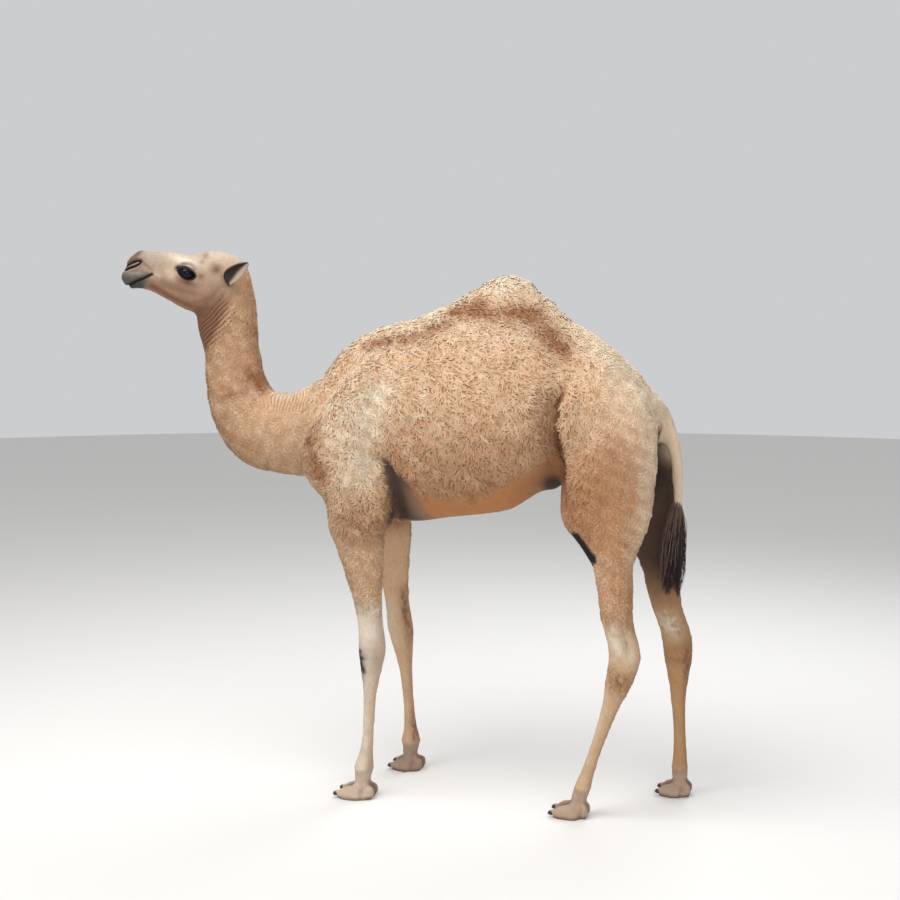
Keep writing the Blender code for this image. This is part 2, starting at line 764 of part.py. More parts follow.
def make_head(group, guides):
    """Head with eye sockets, and the lower jaw parted along the mouth."""
    shapes = [skull_shape(), neck_shape(), *head_masses()]
    head = fused("head_mass", shapes, HEAD_VOXEL, 6, HEAD_TRIANGLES, guides)
    mouth_front = head_point(0.385, 0.0, 1.683)
    mouth_corner = head_point(0.255, 0.0, 1.712)
    jaw_back = head_point(0.125, 0.0, 1.560)
    sideways = head_point(0.0, 1.0, 0.0) - head_point(0.0, 0.0, 0.0)
    cuts = [((0.03, -0.650, 1.632), (0.0, -0.60, 1.0), 0.30)]
    cutters = [slab("cut_neck", *cuts[0], guides)]
    for name, start, end, half in (
        ("cut_mouth", mouth_front, mouth_corner, 0.067),
        ("cut_jaw", mouth_corner, jaw_back, 0.101),
    ):
        normal = (end - start).cross(sideways)
        cutters.append(slab(name, (start + end) / 2, normal, half, guides))
    cut_by(head, cutters)
    places = {
        "head": head_point(0.16, 0.0, 1.70),
        "lower_jaw": head_point(0.25, 0.0, 1.65),
        "waste_neck": (0.0, -0.45, 1.35),
    }
    made = named_shells(head, places, group)
    bpy.data.objects.remove(made.pop("waste_neck"), do_unlink=True)
    for name, side in (("left", 1), ("right", -1)):
        eye = make_object(f"eye_{name}", eye_shape(side), group)
        cut_by(made["head"], [grown_copy(eye, GAP, guides)])
        largest_shell(made["head"])
        made[eye.name] = eye
    for name, side in (("left", 1), ("right", -1)):
        ear = make_object(f"ear_{name}", ear_shape(side), group)
        made[ear.name] = trimmed(ear, made["head"], guides)
    return made


def make_lower_legs(group):
    made = {}
    spans = (
        ("fore", "forearm", FORELEG, FORELEG_LINE, ELBOW_CUT, KNEE_CUT, 8),
        ("fore", "cannon", FORELEG, FORELEG_LINE, KNEE_CUT, FORE_FETLOCK_CUT, 10),
        ("hind", "shank", HINDLEG, HINDLEG_LINE, STIFLE_CUT, HOCK_CUT, 10),
        ("hind", "cannon", HINDLEG, HINDLEG_LINE, HOCK_CUT, HIND_FETLOCK_CUT, 9),
    )
    for kind, part, table, lines, top, bottom, count in spans:
        for side in ("left", "right"):
            name = f"{kind}leg_{side}_{part}"
            shape = leg_piece(table, lines[side], top, bottom, count)
            made[name] = make_object(name, shape, group)
    return made


def make_feet(group, guides):
    made = {}
    for kind, side in SOLES:
        foot = make_foot(kind, side, group)
        made[foot.name] = foot
        for place, toe in (("left", 1), ("right", -1)):
            name = f"nail_{kind}_{side}_{place}"
            nail = make_object(name, nail_shape(kind, side, toe), group)
            made[name] = nail
            cut_by(foot, [grown_copy(nail, GAP, guides)])
    return made


def make_tail(rump, group, guides):
    tail = make_object("tail", loft(tail_rings(TAIL, 11)), group)
    tuft = make_object("tail_tuft", loft(tail_rings(TUFT, 10)), group)
    return {"tail": trimmed(tail, rump, guides), "tail_tuft": tuft}


def colour_pieces(made):
    """Gives each piece its own material."""
    for name, thing in made.items():
        colour, roughness = TAN, 0.9
        if "cannon" in name or "shank" in name:
            colour = CREAM
        if "foot" in name:
            colour, roughness = PINK_GREY, 0.7
        if name.startswith("eye"):
            colour, roughness = EYE_BROWN, 0.1
        if name.startswith("nail"):
            colour, roughness = HORN, 0.5
        if name == "tail_tuft":
            colour = DARK_HAIR
        if name == "hump":
            colour = CREAM
        if name == "neck_lower":
            colour = RUSSET
        thing.data.materials.clear()
        thing.data.materials.append(finish_material(f"{name}_finish", colour, roughness))


def centre_on_floor(made):
    """Moves everything so that the origin is under the middle of the whole box."""
    points = [vert.co for thing in made.values() for vert in thing.data.vertices]
    low = Vector([min(point[i] for point in points) for i in range(3)])
    high = Vector([max(point[i] for point in points) for i in range(3)])
    shift = Vector((-(low.x + high.x) / 2, -(low.y + high.y) / 2, -low.z))
    for thing in made.values():
        thing.data.transform(Matrix.Translation(shift))
    return shift


def main():
    clear_scene()
    group = new_collection("young_camel")
    guides = new_collection("cutters")
    made = make_body(group, guides)
    made.update(make_head(group, guides))
    made.update(make_lower_legs(group))
    made.update(make_feet(group, guides))
    made.update(make_tail(made["rump"], group, guides))
    colour_pieces(made)
    for thing in made.values():
        thing.data.shade_flat()
    return centre_on_floor(made)


if __name__ == "__main__":
    main()
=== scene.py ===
import math

import bmesh
import bpy
import numpy as np
from bpy.props import FloatProperty, FloatVectorProperty, IntProperty, PointerProperty
from mathutils import Matrix, Vector
from mathutils.bvhtree import BVHTree


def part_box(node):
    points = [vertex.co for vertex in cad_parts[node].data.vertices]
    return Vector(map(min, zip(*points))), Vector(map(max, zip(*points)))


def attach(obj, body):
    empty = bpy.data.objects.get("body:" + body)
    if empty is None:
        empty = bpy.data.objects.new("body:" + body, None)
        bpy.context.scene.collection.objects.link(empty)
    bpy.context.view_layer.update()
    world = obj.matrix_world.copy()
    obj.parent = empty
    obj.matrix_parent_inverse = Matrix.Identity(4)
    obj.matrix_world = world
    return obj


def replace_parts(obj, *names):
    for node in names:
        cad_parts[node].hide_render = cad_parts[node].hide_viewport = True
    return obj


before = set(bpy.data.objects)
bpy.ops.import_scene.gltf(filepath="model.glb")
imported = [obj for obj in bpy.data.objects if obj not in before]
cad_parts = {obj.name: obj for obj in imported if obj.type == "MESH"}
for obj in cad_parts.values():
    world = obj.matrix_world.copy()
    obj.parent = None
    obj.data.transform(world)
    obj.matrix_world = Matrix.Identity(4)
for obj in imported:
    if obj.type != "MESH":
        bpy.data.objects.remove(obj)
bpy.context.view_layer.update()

bl_info = {
    "name": "Young Dromedary Looks",
    "version": (1, 0, 0),
    "blender": (4, 5, 0),
    "location": "3D View > Sidebar > Camel",
    "description": "Skin, curly fleece, short hair, eyes, nails and tail tassel over a packed camel frame",
    "category": "Object",
}

# Lengths are in metres, angles in radians. The animal faces -Y, its left side is +X, the floor is z = 0.
BODY = "root"

# The head has a frame of its own: "ahead" runs towards the lips, "aside" towards its left, height stays z.
HEAD_TURN = math.radians(18.0)
HEAD_AXIS = (0.0303, -0.594)
EYE_AHEAD = 0.145
EYE_ASIDE = 0.0535
EYE_HEIGHT = 1.7145
EYE_RADIUS = 0.0262
LID_HALF_LENGTH = 0.0262
LID_UPPER = 0.0182
LID_LOWER = 0.0196
LID_LEAN = 0.3
LID_POWER = 1.7

# Ears: root, direction and opening in the head's frame as (aside, back, up).
EAR_ROOT = (0.068, -0.03, 1.693)
FAR_EAR_SHIFT = (0.0, -0.016, -0.003)
EAR_LEAN = (0.26, 0.85, 0.46)
FAR_EAR_LEAN = (0.5, 0.66, 0.4)
EAR_FACING = (0.9, -0.34, 0.1)
EAR_LENGTH = 0.114
EAR_HALF_WIDTH = 0.0325
EAR_WALL = 0.0034

# Centre line of the neck from shoulder to poll, as (y, z).
NECK_LINE = (
    (-0.13, 1.26), (-0.28, 1.21), (-0.4, 1.2), (-0.52, 1.24),
    (-0.58, 1.32), (-0.6, 1.42), (-0.61, 1.54), (-0.6, 1.72),
)

# Where the smooth head ends, as (height, ahead), and the upper edge of the cheek's shade, as (ahead, height).
HEAD_EDGE = ((1.36, 0.15), (1.48, 0.075), (1.56, 0.03), (1.64, -0.012), (1.7, -0.034), (1.76, -0.06))
JAW_TOP = ((0.0, 1.64), (0.1, 1.655), (0.2, 1.69), (0.3, 1.715), (0.36, 1.72))

# Forms drawn on the head, each a line of (ahead, height) points.
MOUTH_LINE = (
    (0.385, 1.6745), (0.352, 1.6715), (0.336, 1.678),
    (0.318, 1.6865), (0.291, 1.696), (0.263, 1.7105),
)
NOSTRIL_UPPER = ((0.358, 1.729), (0.346, 1.737), (0.326, 1.7475), (0.308, 1.7545), (0.299, 1.7545))
NOSTRIL_FOLD = ((0.354, 1.728), (0.3435, 1.7345), (0.323, 1.7432), (0.303, 1.7495))
NOSTRIL_LOWER = ((0.356, 1.7235), (0.336, 1.7305), (0.315, 1.737), (0.302, 1.7455), (0.2985, 1.753))
# Round swellings of the muzzle: place (ahead, height), half sizes, rise.
NOSE_SWELLINGS = (
    ((0.306, 1.786), (0.028, 0.013), 0.0042),
    ((0.336, 1.768), (0.016, 0.013), 0.004),
    ((0.37, 1.699), (0.016, 0.016), 0.005),
    ((0.326, 1.664), (0.03, 0.011), 0.0065),
    ((0.346, 1.667), (0.012, 0.01), 0.006),
)
MUZZLE_FOLD = ((0.298, 1.75), (0.28, 1.738), (0.266, 1.722), (0.262, 1.706))
JAW_HOLLOW = ((0.225, 1.672), (0.18, 1.655), (0.13, 1.64))
JAW_RIDGE = ((0.262, 1.69), (0.215, 1.648), (0.15, 1.612))
JAW_LINE = ((0.268, 1.672), (0.235, 1.656), (0.18, 1.624), (0.12, 1.594), (0.1, 1.575))
MOUTH_CORNER = ((0.262, 1.716), (0.24, 1.704))
# Darker spots on the temple and cheek: place (ahead, height), half width, strength.
TEMPLE_SPOTS = (
    ((0.046, 1.724), 0.018, 0.95),
    ((0.085, 1.772), 0.012, 0.65),
    ((0.095, 1.752), 0.008, 0.55),
    ((0.02, 1.7), 0.016, 0.55),
)
# Hollows beside the skull: place (ahead, height), half width, depth.
SKULL_HOLLOWS = (
    ((0.046, 1.724), 0.017, 0.0052),
    ((0.098, 1.77), 0.013, 0.0044),
    ((0.215, 1.735), 0.022, 0.0024),
)
CHEEK_EDGE = ((0.15, 1.6), (0.11, 1.594), (0.06, 1.612), (0.03, 1.65))

# Folds of the body, each a line of (y, z) points on both flanks.
FLANK_FOLD = ((0.566, 1.352), (0.551, 1.3), (0.551, 1.246), (0.558, 1.178), (0.565, 1.12), (0.566, 1.06))
ELBOW_PIT = ((-0.012, 1.11), (0.008, 1.05), (0.016, 1.0), (0.014, 0.94))
BELLY_EDGE = (
    (-0.03, 1.14), (-0.01, 1.112), (0.09, 1.022), (0.2, 1.0),
    (0.31, 1.017), (0.43, 1.088), (0.51, 1.132), (0.58, 1.15),
)
CALLUS_LINE = ((0.592, 0.888), (0.616, 0.858), (0.642, 0.828))
CALLUS_SHIFT_RIGHT = 0.074
HOCK_PATCH = ((0.735, 0.478), (0.77, 0.45), (0.74, 0.425), (0.78, 0.41))
UNDER_BULGE = ((-0.06, 0.88), (-0.025, 0.872), (0.004, 0.89))
ARM_EDGE = ((-0.145, 1.02), (-0.11, 0.965), (-0.07, 0.945))

# Places on the body as (y, z), and the y where tail and neck begin and that parts forelegs from hindlegs.
BEND_PLACE = (-0.385, 1.3)
HUMP_TOP = (0.35, 1.715)
RUMP_SPOT = (0.8, 1.36)
GROIN_SPOT = (0.522, 1.04)
TAIL_START = 0.835
NECK_START = -0.335
LEG_SPLIT = 0.3

# Linear colours of the coat and skin.
SAND = (0.548, 0.36, 0.224)
WARM_TAN = (0.395, 0.213, 0.11)
BELLY_TAN = (0.42, 0.172, 0.058)
RUSSET = (0.25, 0.112, 0.052)
CREAM = (0.64, 0.53, 0.395)
PALE_LEG = (0.58, 0.492, 0.388)
BROW_CREAM = (0.64, 0.575, 0.49)
HEAD_TAN = (0.42, 0.288, 0.198)
CHEEK_TAN = (0.255, 0.145, 0.092)
NOSE_PINK = (0.13, 0.072, 0.056)
NOSE_GREY = (0.29, 0.25, 0.2)
LIP_GREY = (0.085, 0.084, 0.078)
JAW_SHADE_BROWN = (0.185, 0.086, 0.046)
SOFT_BROWN = (0.15, 0.08, 0.048)
PIT_GREY = (0.045, 0.03, 0.026)
INNER_DARK_AND_SHADE = (0.06, 0.037, 0.027)
PAD_PINK = (0.48, 0.37, 0.28)
NEAR_BLACK = (0.012, 0.01, 0.01)
EAR_DARK = (0.013, 0.0108, 0.0108)
EAR_BACK = (0.43, 0.31, 0.215)
EAR_INSIDE = (0.285, 0.222, 0.172)
EAR_REAR_RIM = (0.2, 0.13, 0.095)
EAR_FRONT_RIM = (0.15, 0.085, 0.06)
FLANK_SHADE_BROWN = (0.215, 0.095, 0.045)
BELLY_BROWN = (0.19, 0.092, 0.05)
PIT_SHADE_BROWN = (0.25, 0.155, 0.105)
TAIL_CREAM = (0.64, 0.5, 0.36)
TOE_CLEFT_SHADE = (0.12, 0.062, 0.046)
HEEL_BROWN = (0.25, 0.14, 0.1)
FAR_FOOT_SHADE = (0.24, 0.155, 0.12)
HIND_FOOT = (0.25, 0.165, 0.115)
FACE_TOP = (0.44, 0.35, 0.265)
DOME_TAN = (0.44, 0.365, 0.285)
CHIN_TAN = (0.42, 0.23, 0.15)
FOLD_BROWN = (0.26, 0.15, 0.1)
PALE_LIP = (0.27, 0.26, 0.235)
LOWER_LIP = (0.05, 0.05, 0.05)
CHIN_GREY = (0.25, 0.215, 0.18)
NOSTRIL_PALE = (0.4, 0.31, 0.27)
UNDER_EYE = (0.17, 0.075, 0.052)
BEHIND_EYE = (0.2, 0.11, 0.065)
LID_PINK = (0.3, 0.2, 0.17)

# The pale streak behind the shoulder, where the fleece is shorter too, as (y, z).
SHOULDER_STREAK = ((-0.046, 1.334), (-0.064, 1.247), (-0.081, 1.135), (-0.092, 1.06))
# Coloured bands: colour, strength, half width, a line of (y, z) points, and what bounds some of them.
BANDS = (
    (CREAM, 0.8, 0.034, SHOULDER_STREAK, None),
    (CREAM, 0.45, 0.055, ((-0.15, 1.27), (-0.14, 1.18), (-0.135, 1.09)), None),
    (SAND, 0.55, 0.06, ((-0.525, 1.281), (-0.455, 1.199), (-0.403, 1.118)), "above the elbow"),
    (RUSSET, 0.98, 0.027, (
        (0.172, 1.592), (0.263, 1.6), (0.317, 1.583), (0.432, 1.58), (0.486, 1.524), (0.545, 1.476),
    ), "beside the back"),
    (RUSSET, 0.72, 0.02, (
        (-0.096, 1.478), (0.003, 1.502), (0.086, 1.515), (0.15, 1.548),
    ), "beside the back"),
    (RUSSET, 0.42, 0.018, ((-0.513, 1.69), (-0.503, 1.6), (-0.512, 1.5), (-0.5, 1.42)), None),
    (RUSSET, 0.8, 0.024, ((-0.512, 1.385), (-0.488, 1.345)), None),
    (RUSSET, 0.5, 0.01, ((-0.5, 1.352), (-0.546, 1.322), (-0.619, 1.302)), None),
    (RUSSET, 0.8, 0.034, ((-0.262, 1.175), (-0.236, 1.12), (-0.225, 1.075)), None),
    (RUSSET, 0.6, 0.06, ((-0.11, 0.93), (-0.07, 0.895), (-0.02, 0.925)), "above the elbow"),
    (RUSSET, 0.3, 0.05, ((0.69, 1.17), (0.731, 1.129)), None),
    (RUSSET, 0.42, 0.045, ((0.65, 1.04), (0.618, 0.99), (0.63, 0.93)), None),
    (SAND, 0.6, 0.045, ((0.68, 0.8), (0.7, 0.7)), None),
)


# ---- Small tools for fields over points ----

def settle(low, high, value):
    """Smooth step from 0 at low to 1 at high; low may lie above high."""
    t = np.clip((value - low) / (high - low), 0.0, 1.0)
    return t * t * (3.0 - 2.0 * t)


def bell(distance, width):
    """1 where the distance is 0, falling softly away over the given width on both sides."""
    return np.exp(-(distance / width) ** 2)


def spot(u, v, middle, half_sizes):
    """A bell in two directions: 1 at the middle of an oval spot, falling softly away around it."""
    return bell(np.hypot((u - middle[0]) / half_sizes[0], (v - middle[1]) / half_sizes[1]), 1.0)


def ripple(points, size, seed):
    """Seeded smooth field of waves about the given size, roughly between -1 and 1."""
    rng = np.random.default_rng(seed)
    total = np.zeros(len(points))
    waves = 7
    for _ in range(waves):
        heading = rng.normal(size=3)
        heading *= 2.0 * math.pi / (size * rng.uniform(0.7, 1.5)) / np.linalg.norm(heading)
        total += np.sin(points @ heading + rng.uniform(0.0, 6.283))
    return total / math.sqrt(waves * 0.5) * 0.6


def line_distance(u, v, line):
    """Distance in a plane from points (u, v) to an open line, and how far along it the nearest place is."""
    best = np.full(len(u), 1e9)
    place = np.zeros(len(u))
    total = 0.0
    for (u0, v0), (u1, v1) in zip(line, line[1:]):
        length = math.hypot(u1 - u0, v1 - v0)
        t = np.clip(((u - u0) * (u1 - u0) + (v - v0) * (v1 - v0)) / length ** 2, 0.0, 1.0)
        gap = np.hypot(u - u0 - t * (u1 - u0), v - v0 - t * (v1 - v0))
        nearer = gap < best
        best = np.where(nearer, gap, best)
        place = np.where(nearer, total + t * length, place)
        total += length
    return best, place


def line_gap(u, v, line):
    """The distance alone that line_distance gives."""
    return line_distance(u, v, line)[0]


def read_off(place, line):
    """The second coordinate of a line of points where the first one, which rises, reaches place."""
    return np.interp(place, *zip(*line))


def fold_place(z):
    """How far back the fold in front of the thigh lies at each height."""
    return read_off(z, [(height, back) for back, height in reversed(FLANK_FOLD)])


def filled(colour, count):
    """One colour or direction, repeated for count points."""
    return np.tile(np.asarray(colour), (count, 1))


def blended(colours, colour, weight):
    """Colours with this one laid over them, as far as weight says."""
    weight = np.clip(weight * np.ones(len(colours)), 0.0, 1.0)[:, None]
    return colours * (1.0 - weight) + np.asarray(colour) * weight


def layered(colours, layers):
    """Colours with each (colour, weight) of layers laid over the last."""
    for colour, weight in layers:
        colours = blended(colours, colour, weight)
    return colours


def unit(vectors):
    """The same directions, one long each."""
    return vectors / np.maximum(np.linalg.norm(vectors, axis=1, keepdims=True), 1e-9)


def head_frame(points):
    """Distance ahead, aside and height of points in the turned head's own frame."""
    x = points[:, 0] - HEAD_AXIS[0]
    y = points[:, 1] - HEAD_AXIS[1]
    ahead = x * math.sin(HEAD_TURN) - y * math.cos(HEAD_TURN)
    aside = x * math.cos(HEAD_TURN) + y * math.sin(HEAD_TURN)
    return ahead, aside, points[:, 2]


def head_place(ahead, aside, height):
    """The reverse of head_frame, for one point."""
    return Vector((
        HEAD_AXIS[0] + ahead * math.sin(HEAD_TURN) + aside * math.cos(HEAD_TURN),
        HEAD_AXIS[1] - ahead * math.cos(HEAD_TURN) + aside * math.sin(HEAD_TURN),
        height,
    ))


def eye_frame(ahead, height):
    """Distance ahead of and above the eye's centre, and above the eye's sloping middle line."""
    over = ahead - EYE_AHEAD
    rise = height - EYE_HEIGHT
    return over, rise, rise - LID_LEAN * over


AHEAD = np.array((math.sin(HEAD_TURN), -math.cos(HEAD_TURN), 0.0))
ASIDE = np.array((math.cos(HEAD_TURN), math.sin(HEAD_TURN), 0.0))


# ---- Where things are on the animal ----

def head_amount(points):
    """1 on the head and the smooth throat behind the jaw, 0 on the woolly neck."""
    ahead, _, height = head_frame(points)
    inside = settle(-0.016, 0.016, ahead - read_off(height, HEAD_EDGE))
    return inside * settle(1.38, 1.46, height) * settle(-0.4, -0.44, points[:, 1])


def elbow_hollow(points):
    """The grey patch behind the elbow, bare skin with painted armpit shade over it: a wedge that opens
    downwards.
    """
    y, z = points[:, 1:].T
    front = np.interp(z, (0.93, 1.12), (0.0, -0.018))
    rear = np.interp(z, (0.9, 0.95, 1.05, 1.12), (0.125, 0.118, 0.08, 0.004))
    inside = np.minimum(y - front + 0.01, rear - y)
    return settle(-0.004, 0.016, inside) * settle(1.145, 1.1, z) * settle(0.885, 0.905, z)


def callus_amount(points, normals, spread=0.0):
    """The bare black pad on the front edge of each stifle."""
    x, y, z = points.T
    gap = line_gap(y - np.where(x < 0.0, CALLUS_SHIFT_RIGHT, 0.0) - 0.012, z, CALLUS_LINE)
    outer = settle(-0.6, -0.2, normals[:, 0] * np.sign(x))
    return settle(0.028 + spread, 0.02 + spread, gap) * outer * settle(0.07, 0.1, np.abs(x))


def bend_window(points):
    """The top of the neck's bend, where the skin lies in a row of fine folds."""
    z = points[:, 2]
    along = settle(0.092, 0.07, np.abs(points[:, 1] - BEND_PLACE[0]))
    return along * settle(1.24, 1.27, z) * settle(1.4, 1.345, z)


def fleece_amount(points, normals):
    """1 where the long curly fleece grows, 0 where the hair is short and smooth."""
    x, y, z = points.T
    side = np.abs(x)
    ragged = 0.02 * ripple(points, 0.05, 3) + 0.012 * ripple(points, 0.022, 4)
    amount = 1.0 - head_amount(points + np.array((0.0, 0.0, 1.0)) * ragged[:, None])
    belly = settle(0.022, -0.016, z - read_off(y, BELLY_EDGE) + 0.7 * ragged)
    belly = belly * settle(-0.016, 0.004, y - np.interp(z, (0.93, 1.12), (0.004, -0.018)))
    belly = belly * settle(0.012, -0.004, y - fold_place(z)) * settle(0.86, 0.88, z)
    amount = amount * (1.0 - belly) * (1.0 - callus_amount(points, normals, 0.01))
    outer = settle(-0.35, 0.25, normals[:, 0] * np.sign(x) + 0.25 * ragged)
    end = np.where(y < LEG_SPLIT, 0.655 - 0.03 * outer + ragged, 0.65 - 0.02 * outer + 1.3 * ragged)
    amount = amount * settle(end - 0.022, end + 0.034, z)
    inner_leg = (1.0 - outer) * settle(1.02, 0.9, z)
    between = settle(0.085, 0.06, side) * settle(0.7, 0.74, y) * settle(1.25, 1.2, z)
    amount = amount * (1.0 - 0.85 * inner_leg) * (1.0 - between) * (1.0 - 0.75 * bend_window(points))
    tail = (side < 0.045) & (y > TAIL_START)
    amount = np.where(tail, np.minimum(amount, settle(1.2, 1.3, z) * 0.6), amount)
    patch = bell(line_gap(y, z, HOCK_PATCH) + 0.3 * ragged, 0.026) * (x > 0) * 0.8
    return np.clip(np.maximum(amount, patch), 0.0, 1.0)


def fleece_length(points):
    """How long the fleece is, as a share of the longest, which grows on the flanks."""
    y, z = points[:, 1:].T
    share = (0.4 + 0.6 * settle(-0.38, -0.16, y)) * (0.55 + 0.45 * settle(0.84, 1.04, z))
    share = share * (1.0 - 0.42 * bell(line_gap(y, z, SHOULDER_STREAK), 0.065))
    rear = settle(0.56, 0.7, y) * 0.43
    return share * (1.0 - 0.2 * settle(1.6, 1.66, z)) * (1.0 - rear)


def coat_depth(points, fleece):
    """How far the skin lies under the outline that the coat's tips reach."""
    deep = 0.0012 + 0.0022 * fleece_length(points)
    short = 0.0016 + 0.0006 * (1.0 - head_amount(points))
    depth = short + np.maximum(deep - short, 0.0) * fleece
    return np.where(points[:, 2] < 0.1, np.minimum(depth, 0.0012), depth)


def coat_colours(points, normals):
    """The coat's markings at these points, with painted shade in folds, gaps and hollows, the same for skin,
    fleece and short hair.
    """
    x, y, z = points.T
    side = np.abs(x)
    upward = normals[:, 2]
    noise = [ripple(points, size, seed) for size, seed in ((0.16, 11), (0.055, 12), (0.018, 13))]
    broad, middle, fine = noise
    streaky = 0.5 * middle + 0.5 * fine
    on_trunk = settle(-0.06, 0.03, y)
    rear_rim = settle(0.2, 0.75, normals[:, 1]) * settle(0.6, 0.75, y) * settle(0.7, 1.0, z)
    colours = layered(filled(SAND, len(points)), (
        (WARM_TAN, settle(1.34, 1.0, z + 0.04 * broad + 0.02 * middle) * 0.95 * on_trunk),
        (WARM_TAN, settle(-0.36, -0.5, y) * (0.36 + 0.24 * middle + 0.16 * fine)),
        (CREAM, spot(y, z, (-0.02, 1.33), (0.1, 0.09)) * 0.35),
        (CREAM, settle(0.45, 0.9, upward) * settle(1.22, 1.34, z) * 0.75),
        (CREAM, spot(y, z, RUMP_SPOT, (0.1, 0.11)) * 0.6),
        (CREAM, rear_rim * 0.6),
        (CREAM, spot(y, z, HUMP_TOP, (0.12, 0.088)) * 0.95),
    ))
    for colour, strength, width, line, bound in BANDS:
        weight = strength * bell(line_gap(y, z, line), width * 1.25) * (1.0 + 0.55 * streaky)
        if bound == "above the elbow":
            weight = weight * settle(0.8, 0.86, z)
        elif bound == "beside the back":
            weight = weight * settle(0.02, 0.06, side)
        colours = blended(colours, colour, weight)
    colours = colours * (1.0 + 0.14 * settle(0.5, 0.66, y) * settle(0.62, 0.7, z))[:, None]
    # Painted shade: the flank darkens towards the fold in front of the thigh, darkest in the fold, and the
    # thigh's own edge is bright again.
    behind = y - fold_place(z)
    shade_before_fold = settle(-0.12, -0.004, behind) * settle(0.012, 0.002, behind)
    shade_before_fold = shade_before_fold * settle(1.38, 1.3, z) * settle(0.98, 1.04, z) * (side > 0.09)
    colours = blended(colours, FLANK_SHADE_BROWN, shade_before_fold * 0.72)
    fold_shade = bell(behind + 0.004, 0.01) * settle(1.375, 1.33, z) * settle(1.04, 1.09, z) * (side > 0.09)
    colours = colours * (1.0 - fold_shade[:, None] * np.array((0.66, 0.72, 0.76)))
    belly = settle(0.03, -0.05, z - read_off(y, BELLY_EDGE)) * settle(0.86, 0.88, z)
    belly = belly * settle(-0.03, 0.05, y) * settle(0.57, 0.54, y)
    # The inner thighs are darkened, partly their own darker colour and partly painted shade.
    inner = settle(0.15, -0.35, normals[:, 0] * np.sign(x)) * settle(0.58, 0.66, y)
    inner = inner * settle(1.16, 1.08, z) * settle(0.58, 0.64, z)
    # Painted shade: the gap between the thighs under the tail turns near black.
    cleft = settle(0.085, 0.05, side) * settle(1.25, 1.215, z) * settle(0.95, 1.08, z)
    cleft = cleft * settle(0.745, 0.79, y) * settle(0.895, 0.865, y)
    colours = layered(colours, (
        (BELLY_TAN, belly * 0.85),
        (BELLY_BROWN, belly * settle(0.36, 0.52, y) * 0.62),
        (INNER_DARK_AND_SHADE, inner * (0.3 + 0.65 * settle(0.62, 0.8, z))),
        (NEAR_BLACK, cleft * 0.9),
    ))
    colours = leg_colours(points, colours, noise)
    groin = spot(y, z, GROIN_SPOT, (0.032, 0.034)) * settle(0.16, 0.12, side)
    # Painted shade in the armpit behind the elbow, darkest in its core, laid over its bare grey skin.
    pit = elbow_hollow(points)
    armpit_shade_core = pit * settle(0.13, 0.022, y + 0.15 * (z - 0.95) + 0.012 * broad) * settle(0.03, 0.07, side)
    tail = settle(0.045, 0.036, side) * settle(TAIL_START, 0.85, y)
    colours = layered(colours, (
        (NEAR_BLACK, callus_amount(points, normals) * 1.05),
        (PIT_GREY, np.minimum(groin * 1.5, 0.95)),
        (PIT_SHADE_BROWN, pit * 0.8),
        (PIT_GREY, armpit_shade_core * 0.92),
        (TAIL_CREAM, tail * 0.85 * settle(0.9, 1.0, z)),
    ))
    return head_colours(points, normals, colours, noise)


KNEE_PALE = (0.62, 0.545, 0.44)
# Brown painted as shade: behind the fore knee, in the hock's hollow and above the right hock.
HOLLOW_SHADE_BROWN = (0.26, 0.175, 0.115)
HOCK_TAN = (0.33, 0.165, 0.08)
SHANK_TAN = (0.33, 0.2, 0.115)
SHIN_COLOURS = {
    ("fore", "left"): PALE_LEG,
    ("fore", "right"): (0.52, 0.345, 0.215),
    ("hind", "left"): (0.52, 0.35, 0.215),
    ("hind", "right"): (0.42, 0.245, 0.12),
}
# Marks on each lower leg: colour, strength, place along y (-1 front, 1 back), height, two half sizes.
LEG_MARKS = {
    ("fore", "left"): (
        (KNEE_PALE, 0.65, -0.3, 0.555, 0.8, 0.06),
        (HOLLOW_SHADE_BROWN, 0.5, 0.5, 0.47, 0.45, 0.055),
        (NEAR_BLACK, 1.4, -0.86, 0.448, 0.5, 0.044),
        (SAND, 0.5, 0.6, 0.3, 0.5, 0.1),
        (SOFT_BROWN, 0.35, 0.85, 0.1, 0.4, 0.04),
    ),
    ("fore", "right"): (
        (KNEE_PALE, 0.4, -0.5, 0.52, 0.5, 0.08),
        (SOFT_BROWN, 0.75, 0.72, 0.6, 0.26, 0.085),
        (SOFT_BROWN, 0.6, 0.8, 0.5, 0.2, 0.05),
        (SOFT_BROWN, 0.8, 0.7, 0.15, 0.4, 0.05),
    ),
    ("hind", "left"): (
        (KNEE_PALE, 0.8, -0.25, 0.58, 0.6, 0.055),
        (KNEE_PALE, 0.45, 0.6, 0.54, 0.35, 0.05),
        (HOLLOW_SHADE_BROWN, 0.6, 0.28, 0.59, 0.2, 0.05),
        (HOCK_TAN, 0.8, 0.05, 0.45, 1.3, 0.034),
        (KNEE_PALE, 0.45, -0.85, 0.3, 0.35, 0.12),
        (SHANK_TAN, 0.45, 0.8, 0.3, 0.4, 0.11),
    ),
    ("hind", "right"): (
        (KNEE_PALE, 0.65, -0.1, 0.575, 0.7, 0.05),
        (RUSSET, 0.56, 0.2, 0.47, 1.2, 0.034),
        (SOFT_BROWN, 0.7, 0.75, 0.45, 0.28, 0.07),
        (HOLLOW_SHADE_BROWN, 0.55, -0.3, 0.68, 0.6, 0.05),
    ),
}


def each_leg(points):
    """The kind and side of each leg, and which points lie in its quarter of the animal."""
    for kind, side in LEG_MARKS:
        fore = (points[:, 1] < LEG_SPLIT) == (kind == "fore")
        yield kind, side, fore & ((points[:, 0] < 0.0) == (side == "right"))


